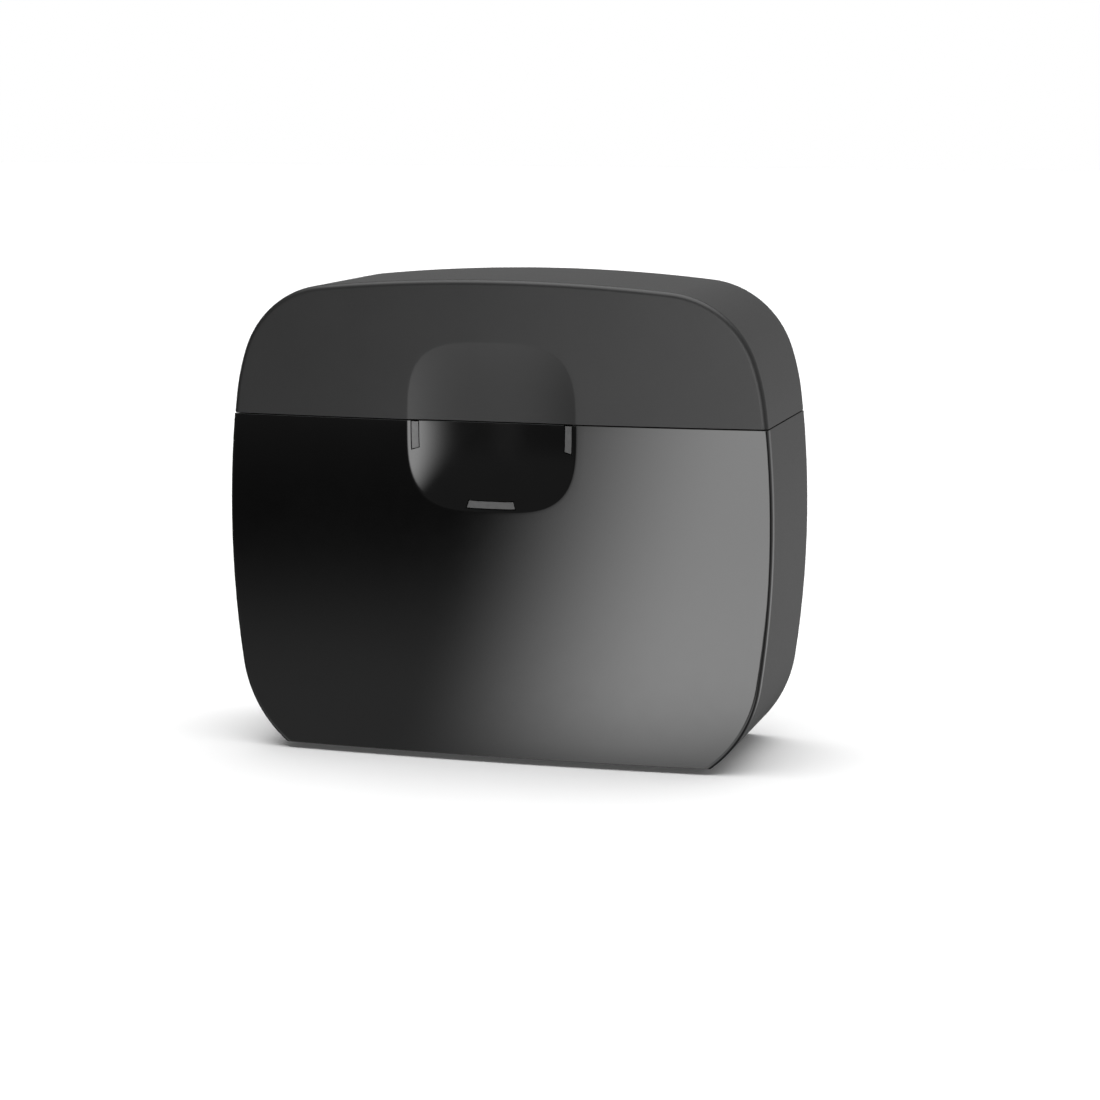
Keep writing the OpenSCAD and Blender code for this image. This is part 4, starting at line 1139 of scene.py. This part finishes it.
class CASE_OT_charging_tray(bpy.types.Operator):
    """Make the tray: deck, wells, bowl and wire slots, all with rounded mouths"""

    bl_idname = "case.charging_tray"
    bl_label = "Charging tray"

    def execute(self, context):
        form = Form(context.scene.case_sizes)
        s = form.s
        well_z = high("charging_coil_right").z + s.tray_wall
        bowl_z = form.deck - s.bowl_depth
        x, y = form.well.x, form.well.y
        fit, rounds = s.wall + s.tray_fit, (s.inner_round, s.inner_round)
        top = form.deck - s.deck_t / 2

        def well(more, side):
            return stadium(s.well_w + 2 * more, s.well_l + 2 * more, (side * x, y))

        def bowl(more):
            return rounded(s.bowl_w + 2 * more, s.well_l + 2 * more, s.bowl_corner + more, (0, y))

        obj = piece("charging_tray_moulding", lower_body(
            form, fit, (form.front_depth + s.tray_fit, fit), rounds, form.deck, form.ledge,
            DECK_EDGE * s.inner_round))
        for side in (-1, 1):
            plan = well(s.tray_wall, side)
            combine(obj, "UNION", loft([level(plan, well_z - s.tray_wall), level(plan, top)]))
        plan = bowl(s.tray_wall)
        half = s.channel_w / 2 + s.tray_wall
        combine(obj, "UNION", loft([level(plan, bowl_z - s.tray_wall), level(plan, top)]),
                block((-x, y - half, form.deck - s.channel_depth - s.tray_wall), (x, y + half, top)))
        magnet_r = extent("base_magnets").y / 2
        magnet_x = high("base_magnets").x - magnet_r
        under, over = low("base_magnets").z, high("base_magnets").z
        for side in (-1, 1):
            place = side * magnet_x, middle("base_magnets").y, 0
            combine(obj, "UNION", rod(under, top, magnet_r + s.magnet_wall, place, 2))
            combine(obj, "DIFFERENCE", rod(under - FAR, over, magnet_r + s.magnet_fit, place, 2))
        for side in (-1, 1):
            combine(obj, "DIFFERENCE",
                    self.hollow(form, lambda more, side=side: well(more, side), well_z, WELL_FILLET))
        combine(obj, "DIFFERENCE", self.hollow(form, bowl, bowl_z, BOWL_FILLET), self.slot(form, x, y),
                hinge_rod(-form.pin_half - NEAR, form.pin_half + NEAR,
                          form.barrel_r + s.swing_gap + s.tray_fit))
        smooth(obj)
        finish = moulded("charging_tray", context.scene.case_colours.tray, rough=(0.38, 0.48),
                         grain=0.2 * MM, relief=0.005 * MM)
        dress(obj, finish, BASE, "tray_plastic", "charging_tray")
        return {"FINISHED"}

    def mouth(self, form):
        """How far the rounded mouth of a well, bowl or slot stands back from its wall, with heights."""
        r = form.s.mouth_round
        curve = [(r * (1 - math.cos(a)), form.deck - r * (1 - math.sin(a)))
                 for a in quarter(TRAY_STEPS)]
        return [*curve, (r, form.deck + OVER_DECK)]

    def hollow(self, form, plan, floor, fillet):
        """Cutter of a well or bowl: rounded mouth, straight wall and filleted floor."""
        bottom = [(-fillet * (1 - math.sin(a)), floor + fillet * (1 - math.cos(a)))
                  for a in quarter(TRAY_STEPS)]
        return loft([level(plan(more), z) for more, z in bottom + self.mouth(form)])

    def slot(self, form, x, y):
        """Cutter of the wire slots: round bottom and rounded mouth, along X."""
        half, floor = form.s.channel_w / 2, form.deck - form.s.channel_depth
        right = [(half * math.sin(a), floor + half * (1 - math.cos(a))) for a in quarter(TRAY_STEPS)]
        right += [(half + more, z) for more, z in self.mouth(form)]
        loop = right[::-1] + [(-u, v) for u, v in right[1:]]
        return loft([[(end, y + u, v) for u, v in loop] for end in (-x, x)])


class CASE_OT_lid_pads(bpy.types.Operator):
    """Make the two soft pads under the lid's ceiling"""

    bl_idname = "case.lid_pads"
    bl_label = "Lid pads"

    def execute(self, context):
        finish = moulded("soft_pad", context.scene.case_colours.soft, rough=(0.62, 0.75), grain=0.3 * MM,
                         relief=0.01 * MM)
        for side in ("left", "right"):
            node = f"lid_pad_{side}"
            obj = piece(f"soft_pad_{side}", self.pad(node))
            smooth(obj, sharp_degrees=60)
            dress(obj, finish, LID, "soft_pad", node)
        return {"FINISHED"}

    def pad(self, node):
        """Crowned pad: swelling sides, domed underside and a flat back."""
        bottom, size, centre = low(node).z, extent(node), middle(node)
        top = high(node).z - PAD_ROOM
        stack = []
        for a in quarter(DOME_STEPS):
            draw = size.x / 2 * DOME_DRAW * (1 - math.sin(a)) ** DRAW_POWER
            stack.append((draw, bottom + (size.z * DOME_RISE) * (1 - math.cos(a)) ** RISE_POWER))
        stack += [(WAIST * share, bottom + place * (top - bottom)) for place, share in WAIST_PLACES]
        stack.append((0, top))
        return loft([level(stadium(size.x - 2 * draw, size.y - 2 * draw, (centre.x, centre.y)), z)
                     for draw, z in stack])


class CASE_OT_foot_pad(bpy.types.Operator):
    """Make the rubber foot pad with its field of pips"""

    bl_idname = "case.foot_pad"
    bl_label = "Foot pad"

    pip_r: length("Pip radius", "Radius of a pip at its root", 0.55)
    pip_h: length("Pip height", "How far the pips stand out of the pad", 0.18)
    pitch: length("Pip pitch", "Distance between pips", 2.2)

    def execute(self, context):
        size, top, corner = extent("foot_pad"), high("foot_pad").z, context.scene.case_sizes.pad_corner
        loops = []
        for a in quarter(FOOT_STEPS):
            draw = FOOT_EDGE * (1 - math.sin(a))
            plan = rounded(size.x - 2 * draw, size.y - 2 * draw, corner - draw, (0, 0))
            loops.append(level(plan, self.pip_h + FOOT_EDGE * (1 - math.cos(a))))
        loops.append(level(rounded(size.x, size.y, corner, (0, 0)), top))
        obj = piece("foot_pad_rubber", loft(loops))
        smooth(obj, sharp_degrees=50)
        finish = moulded("foot_rubber", context.scene.case_colours.rubber, rough=(0.7, 0.85), grain=0.3 * MM,
                         relief=0.012 * MM)
        dress(obj, finish, BASE, "foot_rubber", "foot_pad")
        field = size.x - 2 * corner, size.y - corner
        counts = [int(round(f / self.pitch)) + 1 for f in field]
        pips = grown("foot_pad_pips", pip_tree(), {
            "Length": field[0], "Width": field[1], "Count X": counts[0], "Count Y": counts[1],
            "Radius": self.pip_r, "Tip Radius": PIP_TIP * self.pip_r, "Height": PIP_ROOT * self.pip_h,
            "Material": finish})
        dress(pips, finish, BASE, "foot_rubber")
        return {"FINISHED"}


class GeometryTree(Nodes):
    """A geometry tree under construction, with named inputs that its user fills in."""

    def __init__(self, name, **inputs):
        super().__init__(bpy.data.node_groups.new(name, "GeometryNodeTree"))
        face = self.tree.interface
        for label, kind in {**inputs, "Material": "Material"}.items():
            face.new_socket(label.replace("_", " "), in_out="INPUT", socket_type=f"NodeSocket{kind}")
        face.new_socket("Geometry", in_out="OUTPUT", socket_type="NodeSocketGeometry")
        self.given = self.tree.nodes.new("NodeGroupInput").outputs
        self.result = self.tree.nodes.new("NodeGroupOutput").inputs[0]

    def feed(self, socket, value):
        """Feeds an input; a text names one of the tree's own inputs."""
        super().feed(socket, self.given[value] if isinstance(value, str) else value)

    def make(self, kind, **inputs):
        """First output of a new node."""
        return self.node(kind, **inputs).outputs[0]

    def end(self, points, shape):
        """Puts a shape on points and ends the tree in real geometry with its material."""
        put = self.make("GeometryNodeInstanceOnPoints", Points=points, Instance=shape)
        real = self.make("GeometryNodeRealizeInstances", Geometry=put)
        painted = self.make("GeometryNodeSetMaterial", Geometry=real, Material="Material")
        self.tree.links.new(painted, self.result)
        return self.tree


def grown(name, tree, values):
    """Plain mesh object that a geometry tree makes from its inputs."""
    obj = bpy.data.objects.new(name, bpy.data.meshes.new(name))
    bpy.context.scene.collection.objects.link(obj)
    mod = obj.modifiers.new("tree", "NODES")
    mod.node_group = tree
    for item in tree.interface.items_tree:
        if item.in_out == "INPUT":
            mod[item.identifier] = values[item.name]
    bake_modifiers(obj)
    if len(obj.data.polygons) == 0:
        raise RuntimeError(f"{name} came out empty")
    return obj


def pip_tree():
    """Field of low round pips that point down."""
    tree = GeometryTree("pips", Length="Float", Width="Float", Count_X="Int", Count_Y="Int", Radius="Float",
                        Tip_Radius="Float", Height="Float")
    field = tree.make("GeometryNodeMeshGrid", Size_X="Length", Size_Y="Width", Vertices_X="Count X",
                      Vertices_Y="Count Y")
    pip = tree.make("GeometryNodeMeshCone", Vertices=PIP_SIDES, Radius_Top="Radius",
                    Radius_Bottom="Tip Radius", Depth="Height")
    return tree.end(field, pip)


class CASE_OT_coils(bpy.types.Operator):
    """Wind the two charging coils as flat spirals in two layers"""

    bl_idname = "case.coils"
    bl_label = "Charging coils"

    bore: length("Bore", "Inner diameter of a coil", 4)
    wire: length("Wire", "Diameter of the wire", 0.44)

    def execute(self, context):
        finish = metal("copper", context.scene.case_colours.copper, rough=(0.3, 0.4))
        tree = coil_tree()
        for side in ("left", "right"):
            node = f"charging_coil_{side}"
            size, centre = extent(node), middle(node)
            start, end = (self.bore + self.wire) / 2, (size.x - self.wire) / 2
            pitch = size.z / LAYERS
            coil = grown(f"coil_winding_{side}", tree, {
                "Start Radius": start, "End Radius": end, "Turns": (end - start) / (WINDING * self.wire),
                "Wire Radius": self.wire / 2, "Layer Pitch": pitch,
                "Place": (centre.x, centre.y, low(node).z + pitch / 2), "Material": finish})
            dress(coil, finish, BASE, "copper", node)
        return {"FINISHED"}


def coil_tree():
    """Flat spiral of round wire, in layers."""
    tree = GeometryTree("coil", Start_Radius="Float", End_Radius="Float", Turns="Float", Wire_Radius="Float",
                        Layer_Pitch="Float", Place="Vector")
    spiral = tree.make("GeometryNodeCurveSpiral", Resolution=COIL_STEPS, Height=0,
                       Start_Radius="Start Radius", End_Radius="End Radius", Rotations="Turns")
    section = tree.make("GeometryNodeCurvePrimitiveCircle", Resolution=WIRE_SIDES, Radius="Wire Radius")
    winding = tree.make("GeometryNodeCurveToMesh", Curve=spiral, Profile_Curve=section, Fill_Caps=True)
    step = tree.make("ShaderNodeCombineXYZ", Z="Layer Pitch")
    layers = tree.make("GeometryNodeMeshLine", Count=LAYERS, Start_Location="Place", Offset=step)
    return tree.end(layers, winding)


class CASE_OT_contacts(bpy.types.Operator):
    """Lay the contact strips on both faces of the charging socket's tongue"""

    bl_idname = "case.contacts"
    bl_label = "Socket contacts"

    count: bpy.props.IntProperty(name="Contacts", description="Contacts on one face", default=12)
    pitch: length("Pitch", "Distance between contacts", 0.5)
    strip: bpy.props.FloatVectorProperty(
        name="Strip", description="Width, length and thickness of a contact",
        default=(0.25 * MM, 3.4 * MM, 0.06 * MM), subtype="XYZ", unit="LENGTH")

    def execute(self, context):
        finish = metal("contact_gold", context.scene.case_colours.gold, rough=(0.2, 0.3))
        tongue, size, tip = middle("usb_tongue"), extent("usb_tongue"), high("usb_tongue").y
        contacts = grown("socket_contacts", contact_tree(), {
            "Count": self.count, "Row": self.pitch * (self.count - 1), "Rise": size.z, "Strip": self.strip,
            "Place": (tongue.x, tip - CONTACT_BACK * self.strip[1], tongue.z), "Material": finish})
        dress(contacts, finish, BASE, "copper")
        return {"FINISHED"}


def contact_tree():
    """Two rows of strips, above and below a tongue."""
    tree = GeometryTree("contacts", Count="Int", Row="Float", Rise="Float", Strip="Vector", Place="Vector")
    rows = tree.make("GeometryNodeMeshGrid", Size_X="Row", Size_Y="Rise", Vertices_X="Count", Vertices_Y=2)
    upright = tree.make("GeometryNodeTransform", Geometry=rows, Translation="Place",
                        Rotation=(math.pi / 2, 0, 0))
    return tree.end(upright, tree.make("GeometryNodeMeshCube", Size="Strip"))


class CASE_OT_stage(bpy.types.Operator):
    """Set up the pale floor, the soft lights and the camera"""

    bl_idname = "case.stage"
    bl_label = "Stage"

    def execute(self, context):
        scene = context.scene
        self.camera(scene)
        self.floor(scene)
        self.lights(scene)
        scene.view_settings.view_transform = "Standard"
        scene.view_settings.look = "None"
        return {"FINISHED"}

    def camera(self, scene):
        """Long lens, a little from the right and from above."""
        data = bpy.data.cameras.new("camera")
        data.sensor_width = SENSOR
        data.lens = SENSOR * FOCAL / PHOTO_WIDTH
        obj = bpy.data.objects.new("camera", data)
        obj.location = CAMERA_PLACE
        obj.rotation_euler = math.radians(90 - CAMERA_DOWN), 0, math.radians(CAMERA_LEFT)
        scene.collection.objects.link(obj)
        scene.camera = obj

    def floor(self, scene):
        """Pale floor with a faint grain and a faint painted glow that lifts its shadows, which only the
        camera sees.
        """
        bm = bmesh.new()
        bmesh.ops.create_grid(bm, x_segments=1, y_segments=1, size=FLOOR_REACH)
        obj = piece("floor", bm)
        f = Finish("pale_floor")
        f.tint(f.noise(30 * MM), scene.case_colours.floor, 0.985, 1.0)
        f.rough(f.noise(4 * MM), 0.55, 0.65)
        # the floor glows faintly: painted light that lifts the shadow under and round the case
        f.set(Specular_IOR_Level=0.0, Emission_Color=(1, 1, 1, 1), Emission_Strength=0.03)
        obj.data.materials.append(f.material)
        obj.visible_diffuse = obj.visible_glossy = obj.visible_shadow = False

    def lights(self, scene):
        """Soft studio all round, with each light shining where all of its edges leave room."""
        world = bpy.data.worlds.new("studio")
        world.use_nodes = True
        scene.world = world
        sky = Studio(world.node_tree)
        sky.shine(AMBIENT, *[(sky.overlap(*[sky.ramp(*edge) for edge in edges]), strength)
                             for strength, *edges in LIGHTS.values()])


class Studio(Nodes):
    """Nodes of a studio whose light depends on the direction only."""

    def __init__(self, tree):
        super().__init__(tree)
        self.direction = self.node("ShaderNodeTexCoord").outputs["Generated"]

    def maths(self, operation, *values):
        """Result of a calculation."""
        return self.node("ShaderNodeMath", *values, operation=operation).outputs[0]

    def ramp(self, towards, dark, bright):
        """Soft edge across a direction: 0 up to one value of the dot product, 1 from another."""
        dot = self.node("ShaderNodeVectorMath", self.direction, towards, operation="DOT_PRODUCT")
        span = self.node("ShaderNodeMapRange", Value=dot.outputs["Value"], From_Min=dark, From_Max=bright)
        span.interpolation_type = "SMOOTHSTEP"
        return span.outputs["Result"]

    def overlap(self, first, *others):
        """Where all of the given shares overlap."""
        for other in others:
            first = self.maths("MULTIPLY", first, other)
        return first

    def shine(self, dim, *parts):
        """Adds the parts up for reflections and lighting; the camera itself sees white."""
        total = dim
        for share, strength in parts:
            total = self.maths("MULTIPLY_ADD", share, strength, total)
        seen = self.node("ShaderNodeLightPath").outputs["Is Camera Ray"]
        background = self.tree.nodes["Background"].inputs
        self.feed(background["Strength"], self.maths("MAXIMUM", seen, total))
        self.feed(background["Color"], (1, 1, 1, 1))


class CASE_OT_inner_pieces(bpy.types.Operator):
    """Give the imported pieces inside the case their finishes"""

    bl_idname = "case.inner_pieces"
    bl_label = "Inner pieces"

    def execute(self, context):
        c = context.scene.case_colours
        for material, *names in (
                (metal("steel", c.steel), "hinge_pin", "housing_screws", "usb_socket"),
                (metal("nickel", c.nickel, rough=(0.12, 0.2), stretch=(3, 3, 3)),
                 "base_magnets", "lid_magnets"),
                (printed_board("printed_board", c.board), "main_board", "usb_board"),
                (moulded("black_body", c.black, rough=(0.35, 0.5), grain=0.1 * MM),
                 "board_chips", "usb_tongue"),
                (moulded("amber_film", c.film, rough=(0.25, 0.35), grain=0.6 * MM, mottle=0.12),
                 "battery_lead", "link_flex"),
                (moulded("ferrite", c.ferrite, rough=(0.5, 0.7), grain=0.1 * MM, relief=0.01 * MM),
                 "coil_ferrite_left", "coil_ferrite_right"),
                (moulded("lamp_body", c.lamp, rough=(0.2, 0.3), grain=0.3 * MM, relief=0.002 * MM),
                 "status_leds"),
                (moulded("foam_tape", c.tape, rough=(0.8, 0.95), grain=0.4 * MM, relief=0.04 * MM),
                 "battery_tape"),
                (wrapped_foil("pouch_foil", c.foil), "battery_cell"),
                (moulded("chassis_plastic", c.chassis), "chassis")):
            for name in names:
                slots = frame["nodes"][name].data.materials
                slots.clear()
                slots.append(material)
        return {"FINISHED"}


class CASE_PT_panel(bpy.types.Panel):
    """Lists the steps that build the case"""

    bl_label = "Charging case"
    bl_idname = "CASE_PT_panel"
    bl_space_type = "VIEW_3D"
    bl_region_type = "UI"
    bl_category = "Charging case"

    def draw(self, context):
        for step in STEPS:
            self.layout.operator(step.bl_idname)


STEPS = (CASE_OT_stage, CASE_OT_lid_shell, CASE_OT_base_shell, CASE_OT_front_panel, CASE_OT_light_guides,
         CASE_OT_lid_liner, CASE_OT_lid_pads, CASE_OT_charging_tray, CASE_OT_foot_pad, CASE_OT_coils,
         CASE_OT_contacts, CASE_OT_inner_pieces)
CLASSES = (CaseSizes, CaseColours, *STEPS, CASE_PT_panel)


def register():
    """Makes the classes and the scene's settings known."""
    for cls in CLASSES:
        bpy.utils.register_class(cls)
    bpy.types.Scene.case_sizes = bpy.props.PointerProperty(type=CaseSizes)
    bpy.types.Scene.case_colours = bpy.props.PointerProperty(type=CaseColours)


def unregister():
    """Takes the classes and settings away again."""
    del bpy.types.Scene.case_colours
    del bpy.types.Scene.case_sizes
    for cls in reversed(CLASSES):
        bpy.utils.unregister_class(cls)


def main():
    """Builds everything in order."""
    register()
    for step in STEPS:
        group, name = step.bl_idname.split(".")
        if getattr(getattr(bpy.ops, group), name)() != {"FINISHED"}:
            raise RuntimeError(f"{step.bl_label} did not finish")


if __name__ == "__main__":
    main()
